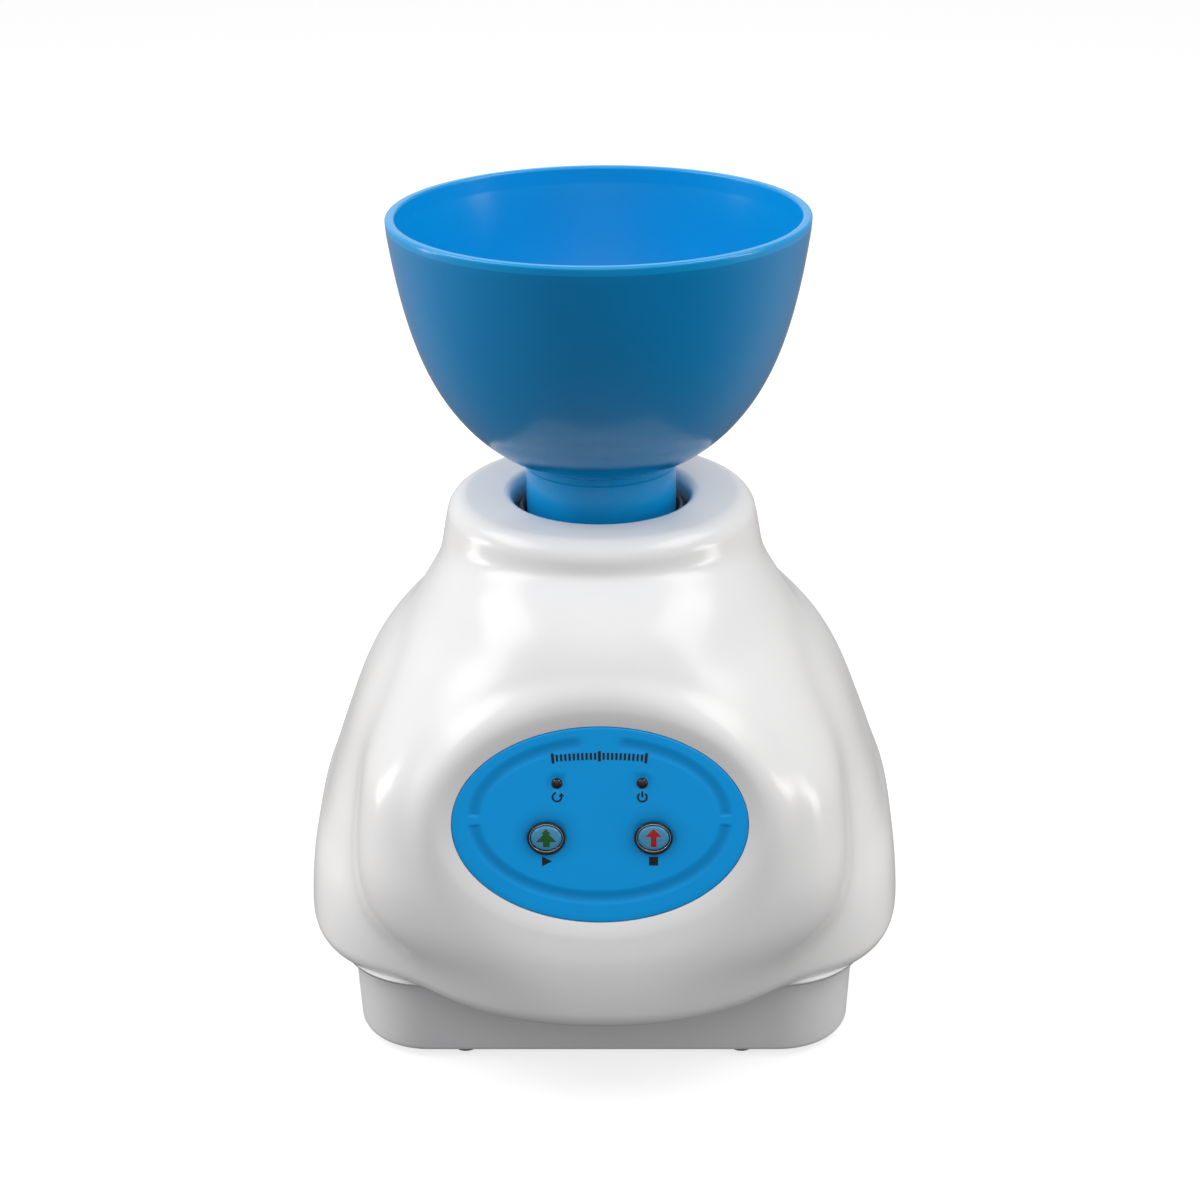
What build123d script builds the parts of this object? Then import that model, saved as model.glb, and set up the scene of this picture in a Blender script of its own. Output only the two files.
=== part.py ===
from build123d import *
import math
import os

os.makedirs("parts", exist_ok=True)

# ---------------------------------------------------------------------------
# Impression-material mixer: a flexible bowl spun by a belt-driven spindle.
# Origin: on the spindle axis, on the surface that the four feet stand on.
# +Z up, -Y towards the user, +X to the user's right. Millimetres.
# ---------------------------------------------------------------------------

# --- casing ---------------------------------------------------------------
foot_h = 2.0             # how far the feet lift the base
shell_z0 = 29.0          # lower edge of the upper shell
shell_top = 168.0        # flat ring round the bowl
low_fillet = 7.0         # rounding under the shell's lower edge
top_fillet = 6.0         # rounding round the neck ring
wall = 3.2               # shell wall, measured horizontally
well_r = 28.3            # opening in the neck
well_wall_r = 31.2
well_floor_z = 137.0
well_floor_t = 3.0

base_top_z = 34.0
base_wall = 2.6
base_floor_z = 6.2

# --- control panel --------------------------------------------------------
panel_tilt = 15.0        # leans back from the vertical
panel_c = (0.0, -86.7, 93.6)
panel_a = 44.3           # half width of the oval plate
panel_b = 29.9           # half height of the oval plate
panel_t = 1.8
button_u = 16.0          # buttons sit this far each side of the middle
button_v = -3.7
lamp_u = 12.7
lamp_v = 12.8
button_travel = 1.2

# --- bowl and drive -------------------------------------------------------
bowl_rim_z = 258.0
bowl_rim_r = 65.0
foot_ring_r = 24.0
holder_floor_z = 150.5
shaft_r = 3.99
bearing_bore_r = 11.0
lower_bearing_z = 57.0
upper_bearing_z = 118.0
bearing_h = 7.0
pulley_z = 44.0
spindle_pulley_r = 30.0
motor_pulley_r = 11.0
motor_x, motor_y = -32.0, 38.0
motor_r = 27.0
deck_z = 53.0
deck_t = 3.0
belt_w = 6.0
belt_t = 1.6

# --- rear -----------------------------------------------------------------
rear_y = 91.0            # flat floor of the rear recess
rear_zc = 50.0
inlet_x = 16.0
switch_x = -24.0


def pch(xs, ys, x):
    """Monotone cubic through the points (xs, ys), read at x."""
    n = len(xs)
    h = [xs[i + 1] - xs[i] for i in range(n - 1)]
    d = [(ys[i + 1] - ys[i]) / h[i] for i in range(n - 1)]
    m = [0.0] * n
    for i in range(1, n - 1):
        if d[i - 1] * d[i] > 0:
            w1, w2 = 2 * h[i] + h[i - 1], h[i] + 2 * h[i - 1]
            m[i] = (w1 + w2) / (w1 / d[i - 1] + w2 / d[i])
    m[0], m[-1] = d[0], d[-1]
    i = 0
    while i < n - 2 and x > xs[i + 1]:
        i += 1
    t = min(1.0, max(0.0, (x - xs[i]) / h[i]))
    return (
        (2 * t**3 - 3 * t**2 + 1) * ys[i]
        + (t**3 - 2 * t**2 + t) * h[i] * m[i]
        + (3 * t**2 - 2 * t**3) * ys[i + 1]
        + (t**3 - t**2) * h[i] * m[i + 1]
    )


# Outer form of the shell, as half widths and depths at each height.
FORM = {
    # half width of the wide rear body
    "a": ([29, 36, 44, 54, 63, 73, 82, 91, 100, 109, 117, 125, 133, 141, 150, 163],
          [98.6, 98.8, 98.3, 97.0, 93.6, 90.4, 87.2, 84.1, 80.5, 75.8, 70.2, 63.2, 56.2, 50.0, 40.0, 26.0]),
    # depth of that body in front of and behind the axis
    "bf": ([29, 44, 62, 90, 105, 118, 130, 142, 163], [82.0, 81.2, 78, 71.5, 67, 59.5, 49, 38, 26]),
    "br": ([29, 35, 50, 70, 90, 105, 118, 128, 138, 146, 155, 163],
           [101.4, 101.4, 99.6, 95.2, 89.2, 83.6, 77.0, 70.5, 62.0, 53.0, 43, 34]),
    # reach of the front nose that carries the panel
    "F": ([29, 36, 45, 55, 64, 70, 80, 90, 100, 110, 120, 130, 140, 146, 151, 155, 158, 161, 163],
          [101.4, 101.4, 100.6, 98.6, 96.3, 94.7, 92.0, 89.4, 86.7, 83.9, 80.9, 77.2, 71.8, 67.0, 61.5, 55.5, 49.5,
           42.5, 38]),
    "an": ([29, 60, 95, 120, 140, 155, 163], [83.5, 80.5, 76, 66, 56, 47, 40]),
    "nf": ([29, 40, 60, 110, 163], [3.8, 3.7, 3.4, 2.6, 2.2]),
    "nr": ([29, 60, 110, 140, 163], [3.4, 3.2, 2.7, 2.3, 2.1]),
    "nn": ([29, 45, 62, 75, 95, 112, 125, 138, 163], [2.15, 2.7, 4.4, 5.2, 5.2, 4.2, 3.1, 2.35, 2.1]),
    # neck
    "rn": ([29, 100, 140, 150, 157, 163, 168], [60, 60, 52.2, 51.6, 50.6, 49.2, 48.4]),
}
SHEAR = 0.0005


def smax(a, b, k):
    h = max(k - abs(a - b), 0.0) / k
    return max(a, b) + h**3 * k / 6


def form_r(z, th):
    """Radius of the casing at height z, th measured from the front."""
    zc = min(z, 163.0)
    v = {key: pch(xs, ys, zc) for key, (xs, ys) in FORM.items()}
    s, c = abs(math.sin(th)), math.cos(th)
    n, b = (v["nf"], v["bf"]) if c >= 0 else (v["nr"], v["br"])
    wide = 1 / ((s / v["a"]) ** n + (abs(c) / b) ** n) ** (1 / n)
    wide *= 1 - SHEAR * wide * c * s * s
    if c > 0:
        nose = 1 / ((s / v["an"]) ** v["nn"] + (c / v["F"]) ** v["nn"]) ** (1 / v["nn"])
    else:
        nose = v["an"] * 0.8
    r = smax(wide, nose, 10.0)
    r = smax(r, pch(*FORM["rn"], z), 4.5)
    if z < shell_z0 + low_fillet:
        u = low_fillet - (z - shell_z0)
        r -= low_fillet - math.sqrt(max(low_fillet**2 - u * u, 0))
    if z > shell_top - top_fillet:
        u = z - (shell_top - top_fillet)
        r -= top_fillet - math.sqrt(max(top_fillet**2 - u * u, 0))
    return r


def ring_points(z, inset, n):
    pts = []
    for i in range(n):
        th = 2 * math.pi * (i + 0.5) / n
        r = form_r(z, th) - inset
        pts.append((r * math.sin(th), -r * math.cos(th)))
    return pts


outer_levels = [29, 29.7, 31.5, 36, 48, 64, 82, 98, 112, 124, 136, 146, 152, 157, 162, 166, 168]
inner_levels = [32.2, 37, 50, 68, 86, 102, 116, 130, 143, 152, 159]

panel_plane = Plane(
    origin=panel_c,
    x_dir=(1, 0, 0),
    z_dir=(0, -math.cos(math.radians(panel_tilt)), math.sin(math.radians(panel_tilt))),
)

# ---------------------------------------------------------------------------
# Space inside the shell, less its screw posts, the pad behind the rear recess,
# the land behind the panel and the tube of the well
# ---------------------------------------------------------------------------
post_xy = [(-66, -48), (66, -48), (-66, 44), (66, 44)]
with BuildPart() as shell_cavity:
    for z in inner_levels:
        with BuildSketch(Plane.XY.offset(z)):
            with BuildLine():
                Spline(*ring_points(z, wall + (0.5 if z > 100 else 0), 28), periodic=True)
            make_face()
    loft()
    with BuildSketch(panel_plane.offset(-14.5)):
        Ellipse(panel_a - 1.2, panel_b - 1.2)
    extrude(amount=9.5)
    with BuildSketch(panel_plane.offset(-5.0)):
        Ellipse(panel_a + 4, panel_b + 4)
    extrude(amount=20, mode=Mode.SUBTRACT)
    with BuildSketch(Plane.XZ.offset(-(rear_y - 3))):
        with Locations((0, rear_zc)):
            RectangleRounded(95, 41, 8)
    extrude(amount=-20, mode=Mode.SUBTRACT)
    with BuildSketch(Plane.XY.offset(base_top_z + 0.5)):
        with Locations(*post_xy):
            Circle(5)
    extrude(amount=100, mode=Mode.SUBTRACT)
    with BuildSketch(Plane.XY.offset(well_floor_z)):
        Circle(well_wall_r)
    extrude(amount=40, mode=Mode.SUBTRACT)

# ---------------------------------------------------------------------------
# Upper shell
# ---------------------------------------------------------------------------
with BuildPart() as upper_shell:
    for z in outer_levels:
        with BuildSketch(Plane.XY.offset(z)):
            with BuildLine():
                Spline(*ring_points(z, 0, 40), periodic=True)
            make_face()
    loft()
    # oval boss that carries the panel
    with BuildSketch(panel_plane.offset(-14)):
        Ellipse(panel_a + 3.2, panel_b + 3.2)
    extrude(amount=14.7)
    # mouth underneath, which the base fits into
    with BuildSketch(Plane.XY.offset(shell_z0 - 1)):
        with Locations((0, 3.5)):
            RectangleRounded(163.0, 154.8, 25.5)
    extrude(amount=6.4, mode=Mode.SUBTRACT)
    add(shell_cavity.part, mode=Mode.SUBTRACT)
    # seat of the panel, and the holes behind the buttons and lamps
    with BuildSketch(panel_plane.offset(-panel_t)):
        Ellipse(panel_a + 0.3, panel_b + 0.3)
    extrude(amount=6, mode=Mode.SUBTRACT)
    with BuildSketch(panel_plane.offset(-6)):
        with Locations((-button_u, button_v), (button_u, button_v)):
            Ellipse(6.5, 5.6)
        with Locations((-lamp_u, lamp_v), (lamp_u, lamp_v)):
            Circle(2.4)
    extrude(amount=5, mode=Mode.SUBTRACT)
    # well for the rotating holder
    with BuildSketch(Plane.XY.offset(well_floor_z + well_floor_t)):
        Circle(well_r)
    extrude(amount=40, mode=Mode.SUBTRACT)
    with BuildSketch(Plane.XY.offset(well_floor_z - 1)):
        Circle(12.5)
    extrude(amount=6, mode=Mode.SUBTRACT)
    # recess at the back for the inlet and the switch
    with BuildSketch(Plane.XZ.offset(-rear_y)):
        with Locations((0, rear_zc)):
            RectangleRounded(88, 34, 6)
    extrude(amount=-20, mode=Mode.SUBTRACT)
    with BuildSketch(Plane.XZ.offset(-(rear_y - 7))):
        with Locations((inlet_x, rear_zc)):
            Rectangle(28.6, 25.6)
        with Locations((switch_x, rear_zc)):
            Rectangle(13.4, 20.4)
        with Locations((inlet_x - 20, rear_zc), (inlet_x + 20, rear_zc)):
            Circle(1.3)
    extrude(amount=-20, mode=Mode.SUBTRACT)
    # screw holes up the posts
    with BuildSketch(Plane.XY.offset(base_top_z)):
        with Locations(*post_xy):
            Circle(1.65)
    extrude(amount=14, mode=Mode.SUBTRACT)
upper_shell.part.label = "upper_shell"
export_step(upper_shell.part, "parts/upper_shell.step")

# ---------------------------------------------------------------------------
# Lower base: a tray with posts, slotted under the motor
# ---------------------------------------------------------------------------
pillar_xy = [(-57, 63), (57, 63), (-52, -38), (52, -38)]
foot_xy = [(-44.5, -65.0), (44.5, -65.0), (-44.5, 70.0), (44.5, 70.0)]
with BuildPart() as lower_base:
    with BuildSketch(Plane.XY.offset(foot_h)):
        with Locations((0, 3.5)):
            RectangleRounded(159.2, 151.0, 23.5)
    with BuildSketch(Plane.XY.offset(base_top_z)):
        with Locations((0, 3.5)):
            RectangleRounded(162.0, 153.8, 25)
    loft()
    fillet(lower_base.edges().group_by(Axis.Z)[0], 2.2)
    with BuildSketch(Plane.XY.offset(base_floor_z)):
        with Locations((0, 3.5)):
            RectangleRounded(154.0, 145.8, 21)
    with BuildSketch(Plane.XY.offset(base_top_z + 1)):
        with Locations((0, 3.5)):
            RectangleRounded(156.9, 148.7, 22.5)
    loft(mode=Mode.SUBTRACT)
    # posts under the shell's posts
    with BuildSketch(Plane.XY.offset(base_floor_z - 0.5)):
        with Locations(*post_xy):
            Circle(5)
    extrude(amount=base_top_z + 0.3 - base_floor_z + 0.5)
    # pillars under the chassis plate
    with BuildSketch(Plane.XY.offset(base_floor_z - 0.5)):
        with Locations(*pillar_xy):
            Circle(5.5)
    extrude(amount=50.5 - base_floor_z)
    # counterbored holes for the case screws
    with BuildSketch(Plane.XY.offset(foot_h - 1)):
        with Locations(*post_xy):
            Circle(3.4)
    extrude(amount=12.2 - foot_h, mode=Mode.SUBTRACT)
    with BuildSketch(Plane.XY.offset(foot_h)):
        with Locations(*post_xy):
            Circle(1.85)
    extrude(amount=40, mode=Mode.SUBTRACT)
    with BuildSketch(Plane.XY.offset(36)):
        with Locations(*pillar_xy):
            Circle(1.6)
    extrude(amount=20, mode=Mode.SUBTRACT)
    # holes for the stems of the feet
    with BuildSketch(Plane.XY.offset(foot_h - 1)):
        with Locations(*foot_xy):
            Circle(2.2)
    extrude(amount=6, mode=Mode.SUBTRACT)
    # air slots in the floor
    with BuildSketch(Plane.XY.offset(foot_h - 1)):
        with Locations((0, -20)):
            with GridLocations(0, 8, 1, 6):
                SlotOverall(52, 3)
    extrude(amount=6, mode=Mode.SUBTRACT)
lower_base.part.label = "lower_base"
export_step(lower_base.part, "parts/lower_base.step")

# four push-in rubber feet
with BuildPart() as rubber_feet:
    with BuildSketch(Plane.XY.offset(0)) as foot_pad:
        with Locations(*foot_xy):
            Circle(4.2)
    extrude(amount=foot_h)
    fillet(rubber_feet.edges().group_by(Axis.Z)[0], 1.4)
    with BuildSketch(Plane.XY.offset(foot_h)):
        with Locations(*foot_xy):
            Circle(2.1)
    extrude(amount=base_floor_z - foot_h)
    with BuildSketch(Plane.XY.offset(base_floor_z)):
        with Locations(*foot_xy):
            Circle(3.0)
    extrude(amount=1.6, taper=25)
rubber_feet.part.label = "rubber_feet"
export_step(rubber_feet.part, "parts/rubber_feet.step")

# four case screws, driven up from underneath
with BuildPart() as case_screws:
    with BuildSketch(Plane.XY.offset(8.5)):
        with Locations(*post_xy):
            Circle(3.1)
            RegularPolygon(1.4, 6, mode=Mode.SUBTRACT)
    extrude(amount=1.6)
    with BuildSketch(Plane.XY.offset(10.1)):
        with Locations(*post_xy):
            Circle(3.1)
    extrude(amount=1.1)
    with BuildSketch(Plane.XY.offset(11.2)):
        with Locations(*post_xy):
            Circle(1.55)
    extrude(amount=34)
case_screws.part.label = "case_screws"
export_step(case_screws.part, "parts/case_screws.step")

# ---------------------------------------------------------------------------
# Bowl: turned profile, open at the top, hollow drive foot with three notches
# ---------------------------------------------------------------------------
outer_prof = [(24.6, 180.2), (27.5, 181.2), (31.5, 183.0), (36.0, 186.4), (41.0, 190.8), (46.4, 197.2),
              (51.2, 204.6), (55.4, 213.5), (58.6, 222.8), (61.2, 233.0), (63.3, 244.0), (64.7, 253.2)]
inner_prof = [(61.9, 253.2), (60.4, 244.0), (58.2, 233.2), (55.5, 223.6), (52.2, 214.8), (47.9, 206.4),
              (43.0, 199.5), (37.5, 193.8), (31.0, 189.4), (23.0, 186.6), (12.0, 185.3)]
with BuildPart() as mixing_bowl:
    with BuildSketch(Plane.XZ):
        with BuildLine():
            Polyline((0, 177.5), (19.0, 177.5), (19.0, holder_floor_z), (foot_ring_r, holder_floor_z),
                     (foot_ring_r, 176.8), (24.6, 177.6), (24.6, 180.2))
            Spline(*outer_prof)
            ThreePointArc((64.7, 253.2), (65.0, 255.6), (64.6, 257.2))
            ThreePointArc((64.6, 257.2), (63.6, 258.0), (62.4, 257.2))
            ThreePointArc((62.4, 257.2), (62.1, 255.6), (61.9, 253.2))
            Spline(*inner_prof, (0, 185.0))
            Line((0, 185.0), (0, 177.5))
        make_face()
    revolve(axis=Axis.Z)
    # notches that take the holder's drive lugs
    with BuildSketch(Plane.XY.offset(holder_floor_z - 1)):
        with PolarLocations(21.5, 3):
            Rectangle(9, 7.2)
    extrude(amount=6.2, mode=Mode.SUBTRACT)
mixing_bowl.part.label = "mixing_bowl"
export_step(mixing_bowl.part, "parts/mixing_bowl.step")

# ---------------------------------------------------------------------------
# Rotating holder: cup, hub and three drive lugs
# ---------------------------------------------------------------------------
with BuildPart() as bowl_holder:
    with BuildSketch(Plane.XZ):
        with BuildLine():
            Polyline((4.0, 130.0), (10.0, 130.0), (10.0, 144.0), (13.0, 147.0), (27.0, 147.0), (27.0, 162.2),
                     (26.2, 163.0), (25.3, 163.0), (24.5, 162.2), (24.5, holder_floor_z), (4.0, holder_floor_z),
                     (4.0, 130.0))
        make_face()
    revolve(axis=Axis.Z)
    # groove for the grip ring
    with BuildSketch(Plane.XZ):
        with Locations((25.35, 157.0)):
            Circle(1.07)
    revolve(axis=Axis.Z, mode=Mode.SUBTRACT)
    # drive lugs
    with BuildSketch(Plane.XY.offset(holder_floor_z)):
        with PolarLocations(22.2, 3):
            Rectangle(5.0, 6.0)
    extrude(amount=4.2)
    # radial hole for the set screw
    with BuildSketch(Plane.YZ.offset(3.0)):
        with Locations((0, 137.0)):
            Circle(2.04)
    extrude(amount=10, mode=Mode.SUBTRACT)
bowl_holder.part.label = "bowl_holder"
export_step(bowl_holder.part, "parts/bowl_holder.step")

with BuildPart() as holder_grip_ring:
    with BuildSketch(Plane.XZ):
        with Locations((25.35, 157.0)):
            Circle(1.05)
    revolve(axis=Axis.Z)
holder_grip_ring.part.label = "holder_grip_ring"
export_step(holder_grip_ring.part, "parts/holder_grip_ring.step")

with BuildPart() as holder_setscrew:
    with BuildSketch(Plane.YZ.offset(4.05)):
        with Locations((0, 137.0)):
            Circle(1.98)
    extrude(amount=5.4)
    with BuildSketch(Plane.YZ.offset(7.5)):
        with Locations((0, 137.0)):
            RegularPolygon(1.1, 6)
    extrude(amount=3, mode=Mode.SUBTRACT)
holder_setscrew.part.label = "holder_setscrew"
export_step(holder_setscrew.part, "parts/holder_setscrew.step")

# lip seal on the floor of the well
with BuildPart() as well_seal:
    with BuildSketch(Plane.XZ):
        with BuildLine():
            Polyline((10.9, 137.2), (12.4, 137.2), (12.4, 140.0), (15.5, 140.0), (15.5, 141.4), (11.6, 142.6),
                     (10.35, 143.4), (10.35, 142.2), (10.9, 141.0), (10.9, 137.2))
        make_face()
    revolve(axis=Axis.Z)
well_seal.part.label = "well_seal"
export_step(well_seal.part, "parts/well_seal.step")

# ---------------------------------------------------------------------------
# Spindle, its bearings and housing
# ---------------------------------------------------------------------------
with BuildPart() as spindle_shaft:
    with BuildSketch(Plane.XY.offset(33.0)):
        Circle(shaft_r)
    extrude(amount=113.5)
    chamfer(spindle_shaft.edges().group_by(Axis.Z)[0], 0.6)
    with BuildSketch(Plane.XY.offset(36.4)):
        Circle(5)
        Circle(3.5, mode=Mode.SUBTRACT)
    extrude(amount=1.2, mode=Mode.SUBTRACT)
spindle_shaft.part.label = "spindle_shaft"
export_step(spindle_shaft.part, "parts/spindle_shaft.step")

with BuildPart() as shaft_circlip:
    with BuildSketch(Plane.XY.offset(36.5)):
        Circle(6.4)
        Circle(3.55, mode=Mode.SUBTRACT)
        with Locations((0, -5)):
            Rectangle(2.2, 5, mode=Mode.SUBTRACT)
    extrude(amount=1.0)
shaft_circlip.part.label = "shaft_circlip"
export_step(shaft_circlip.part, "parts/shaft_circlip.step")

with BuildPart() as spindle_spacers:
    for z0, z1 in ((50.5, lower_bearing_z), (upper_bearing_z + bearing_h, 130.0)):
        with BuildSketch(Plane.XY.offset(z0)):
            Circle(5.8)
            Circle(4.05, mode=Mode.SUBTRACT)
        extrude(amount=z1 - z0)
spindle_spacers.part.label = "spindle_spacers"
export_step(spindle_spacers.part, "parts/spindle_spacers.step")

with BuildPart() as spindle_pulley:
    with BuildSketch(Plane.XY.offset(37.6)):
        Circle(9)
    extrude(amount=50.5 - 37.6)
    with BuildSketch(Plane.XY.offset(39.4)):
        Circle(spindle_pulley_r + 2.2)
        Circle(spindle_pulley_r - 3.4, mode=Mode.SUBTRACT)
    extrude(amount=9.2)
    with BuildSketch(Plane.XY.offset(42.5)):
        Circle(spindle_pulley_r - 3)
        with PolarLocations(18, 5):
            Circle(5.2, mode=Mode.SUBTRACT)
    extrude(amount=3)
    with BuildSketch(Plane.XY.offset(pulley_z - 3.5)):
        Circle(spindle_pulley_r + 4)
        Circle(spindle_pulley_r, mode=Mode.SUBTRACT)
    extrude(amount=7, mode=Mode.SUBTRACT)
    with BuildSketch(Plane.XY.offset(30)):
        Circle(4.0)
    extrude(amount=30, mode=Mode.SUBTRACT)
    with BuildSketch(Plane.YZ.offset(3.0)):
        with Locations((0, 48.9)):
            Circle(1.03)
    extrude(amount=8, mode=Mode.SUBTRACT)
spindle_pulley.part.label = "spindle_pulley"
export_step(spindle_pulley.part, "parts/spindle_pulley.step")

with BuildPart() as pulley_setscrew:
    with BuildSketch(Plane.YZ.offset(4.05)):
        with Locations((0, 48.9)):
            Circle(0.98)
    extrude(amount=4.6)
pulley_setscrew.part.label = "pulley_setscrew"
export_step(pulley_setscrew.part, "parts/pulley_setscrew.step")

with BuildPart() as bearing_housing:
    with BuildSketch(Plane.XY.offset(deck_z + deck_t)):
        Circle(21.5)
    extrude(amount=4)
    with BuildSketch(Plane.XY.offset(deck_z + deck_t)):
        Circle(15.0)
    extrude(amount=70)
    with BuildSketch(Plane.XY.offset(50)):
        Circle(9.6)
    extrude(amount=90, mode=Mode.SUBTRACT)
    with BuildSketch(Plane.XY.offset(50)):
        Circle(bearing_bore_r)
    extrude(amount=lower_bearing_z + bearing_h - 50, mode=Mode.SUBTRACT)
    with BuildSketch(Plane.XY.offset(upper_bearing_z)):
        Circle(bearing_bore_r)
    extrude(amount=20, mode=Mode.SUBTRACT)
    with BuildSketch(Plane.XY.offset(50)):
        with PolarLocations(18.4, 3, start_angle=-90):
            Circle(1.7)
    extrude(amount=20, mode=Mode.SUBTRACT)
bearing_housing.part.label = "bearing_housing"
export_step(bearing_housing.part, "parts/bearing_housing.step")

with BuildPart() as housing_screws:
    with BuildSketch(Plane.XY.offset(deck_z + deck_t + 4)):
        with PolarLocations(18.4, 3, start_angle=-90):
            Circle(2.6)
            RegularPolygon(1.3, 6, mode=Mode.SUBTRACT)
    extrude(amount=2.6)
    with BuildSketch(Plane.XY.offset(deck_z - 1.5)):
        with PolarLocations(18.4, 3, start_angle=-90):
            Circle(1.5)
    extrude(amount=deck_t + 4 + 1.5 + 0.8)
housing_screws.part.label = "housing_screws"
export_step(housing_screws.part, "parts/housing_screws.step")

for pos, z0 in (("lower", lower_bearing_z), ("upper", upper_bearing_z)):
    with BuildPart() as outer_race:
        with BuildSketch(Plane.XZ):
            with BuildLine():
                Polyline((8.75, z0), (10.99, z0), (10.99, z0 + 7), (8.75, z0 + 7), (8.75, z0))
            make_face()
        revolve(axis=Axis.Z)
        with BuildSketch(Plane.XZ):
            with Locations((7.3, z0 + 3.5)):
                Circle(1.75)
        revolve(axis=Axis.Z, mode=Mode.SUBTRACT)
    outer_race.part.label = pos + "_bearing_outer_race"
    export_step(outer_race.part, "parts/" + pos + "_bearing_outer_race.step")

    with BuildPart() as inner_race:
        with BuildSketch(Plane.XZ):
            with BuildLine():
                Polyline((4.0, z0), (5.85, z0), (5.85, z0 + 7), (4.0, z0 + 7), (4.0, z0))
            make_face()
        revolve(axis=Axis.Z)
        with BuildSketch(Plane.XZ):
            with Locations((7.3, z0 + 3.5)):
                Circle(1.71)
        revolve(axis=Axis.Z, mode=Mode.SUBTRACT)
    inner_race.part.label = pos + "_bearing_inner_race"
    export_step(inner_race.part, "parts/" + pos + "_bearing_inner_race.step")

with BuildPart() as bearing_balls:
    for z0 in (lower_bearing_z, upper_bearing_z):
        with Locations(Plane.XY.offset(z0 + 3.5)):
            with PolarLocations(7.3, 8):
                Sphere(1.69)
bearing_balls.part.label = "bearing_balls"
export_step(bearing_balls.part, "parts/bearing_balls.step")

# ---------------------------------------------------------------------------
# Chassis plate on rubber grommets
# ---------------------------------------------------------------------------
with BuildPart() as chassis_plate:
    with BuildSketch(Plane.XY.offset(deck_z)):
        with Locations((0, 11)):
            RectangleRounded(130, 120, 9)
        with Locations(*post_xy):
            Circle(7.2, mode=Mode.SUBTRACT)
        with Locations((16, 74)):
            RectangleRounded(44, 26, 3, mode=Mode.SUBTRACT)
        with Locations((-24, 76)):
            RectangleRounded(24, 14, 3, mode=Mode.SUBTRACT)
        with Locations(*pillar_xy):
            Circle(4.3, mode=Mode.SUBTRACT)
        Circle(9.0, mode=Mode.SUBTRACT)
        with PolarLocations(18.4, 3, start_angle=-90):
            Circle(1.55, mode=Mode.SUBTRACT)
        with Locations((motor_x, motor_y)):
            Circle(7.2, mode=Mode.SUBTRACT)
        with Locations((motor_x - 14, motor_y), (motor_x + 14, motor_y)):
            Circle(2.1, mode=Mode.SUBTRACT)
        with Locations((44, 8)):
            SlotOverall(24, 12, rotation=90, mode=Mode.SUBTRACT)
    extrude(amount=deck_t)
chassis_plate.part.label = "chassis_plate"
export_step(chassis_plate.part, "parts/chassis_plate.step")

with BuildPart() as chassis_grommets:
    for z0, z1, rad in ((50.0, deck_z, 6.5), (deck_z, deck_z + deck_t, 4.25), (deck_z + deck_t, 58.5, 6.5)):
        with BuildSketch(Plane.XY.offset(z0)):
            with Locations(*pillar_xy):
                Circle(rad)
                Circle(1.75, mode=Mode.SUBTRACT)
        extrude(amount=z1 - z0)
chassis_grommets.part.label = "chassis_grommets"
export_step(chassis_grommets.part, "parts/chassis_grommets.step")

with BuildPart() as chassis_screws:
    with BuildSketch(Plane.XY.offset(58.5)):
        with Locations(*pillar_xy):
            Circle(4.2)
    extrude(amount=0.8)
    with BuildSketch(Plane.XY.offset(59.3)):
        with Locations(*pillar_xy):
            Circle(2.9)
            RegularPolygon(1.3, 6, mode=Mode.SUBTRACT)
    extrude(amount=2.0)
    with BuildSketch(Plane.XY.offset(38.0)):
        with Locations(*pillar_xy):
            Circle(1.5)
    extrude(amount=20.6)
chassis_screws.part.label = "chassis_screws"
export_step(chassis_screws.part, "parts/chassis_screws.step")

# ---------------------------------------------------------------------------
# Motor, shaft pointing down through the chassis plate
# ---------------------------------------------------------------------------
motor_plane = Plane.XY.move(Location((motor_x, motor_y, 0)))
mz = deck_z + deck_t
with BuildPart() as motor_front_cap:
    with BuildSketch(motor_plane.offset(mz)):
        Circle(motor_r)
    extrude(amount=4)
    with BuildSketch(motor_plane.offset(mz - 2.6)):
        Circle(7.0)
    extrude(amount=7.5)
    with BuildSketch(motor_plane.offset(mz - 4)):
        Circle(5.0)
    extrude(amount=14, mode=Mode.SUBTRACT)
    with BuildSketch(motor_plane.offset(mz - 1)):
        with Locations((-14, 0), (14, 0)):
            Circle(1.75)
    extrude(amount=6, mode=Mode.SUBTRACT)
motor_front_cap.part.label = "motor_front_cap"
export_step(motor_front_cap.part, "parts/motor_front_cap.step")

with BuildPart() as motor_can:
    with BuildSketch(motor_plane.offset(mz + 4)):
        Circle(motor_r)
        Circle(motor_r - 1.5, mode=Mode.SUBTRACT)
        with Locations((0, motor_r - 0.75)):
            Rectangle(8, 4, mode=Mode.SUBTRACT)
    extrude(amount=9)
    with BuildSketch(motor_plane.offset(mz + 13)):
        Circle(motor_r)
        Circle(motor_r - 1.5, mode=Mode.SUBTRACT)
    extrude(amount=31)
motor_can.part.label = "motor_can"
export_step(motor_can.part, "parts/motor_can.step")

with BuildPart() as motor_rear_cap:
    with BuildSketch(motor_plane.offset(mz + 44)):
        Circle(motor_r)
        with PolarLocations(16, 4, start_angle=45):
            Circle(4.5, mode=Mode.SUBTRACT)
    extrude(amount=3)
    with BuildSketch(motor_plane.offset(mz + 40)):
        Circle(7.5)
    extrude(amount=9)
    with BuildSketch(motor_plane.offset(mz + 39)):
        Circle(5.0)
    extrude(amount=8.5, mode=Mode.SUBTRACT)
motor_rear_cap.part.label = "motor_rear_cap"
export_step(motor_rear_cap.part, "parts/motor_rear_cap.step")

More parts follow.
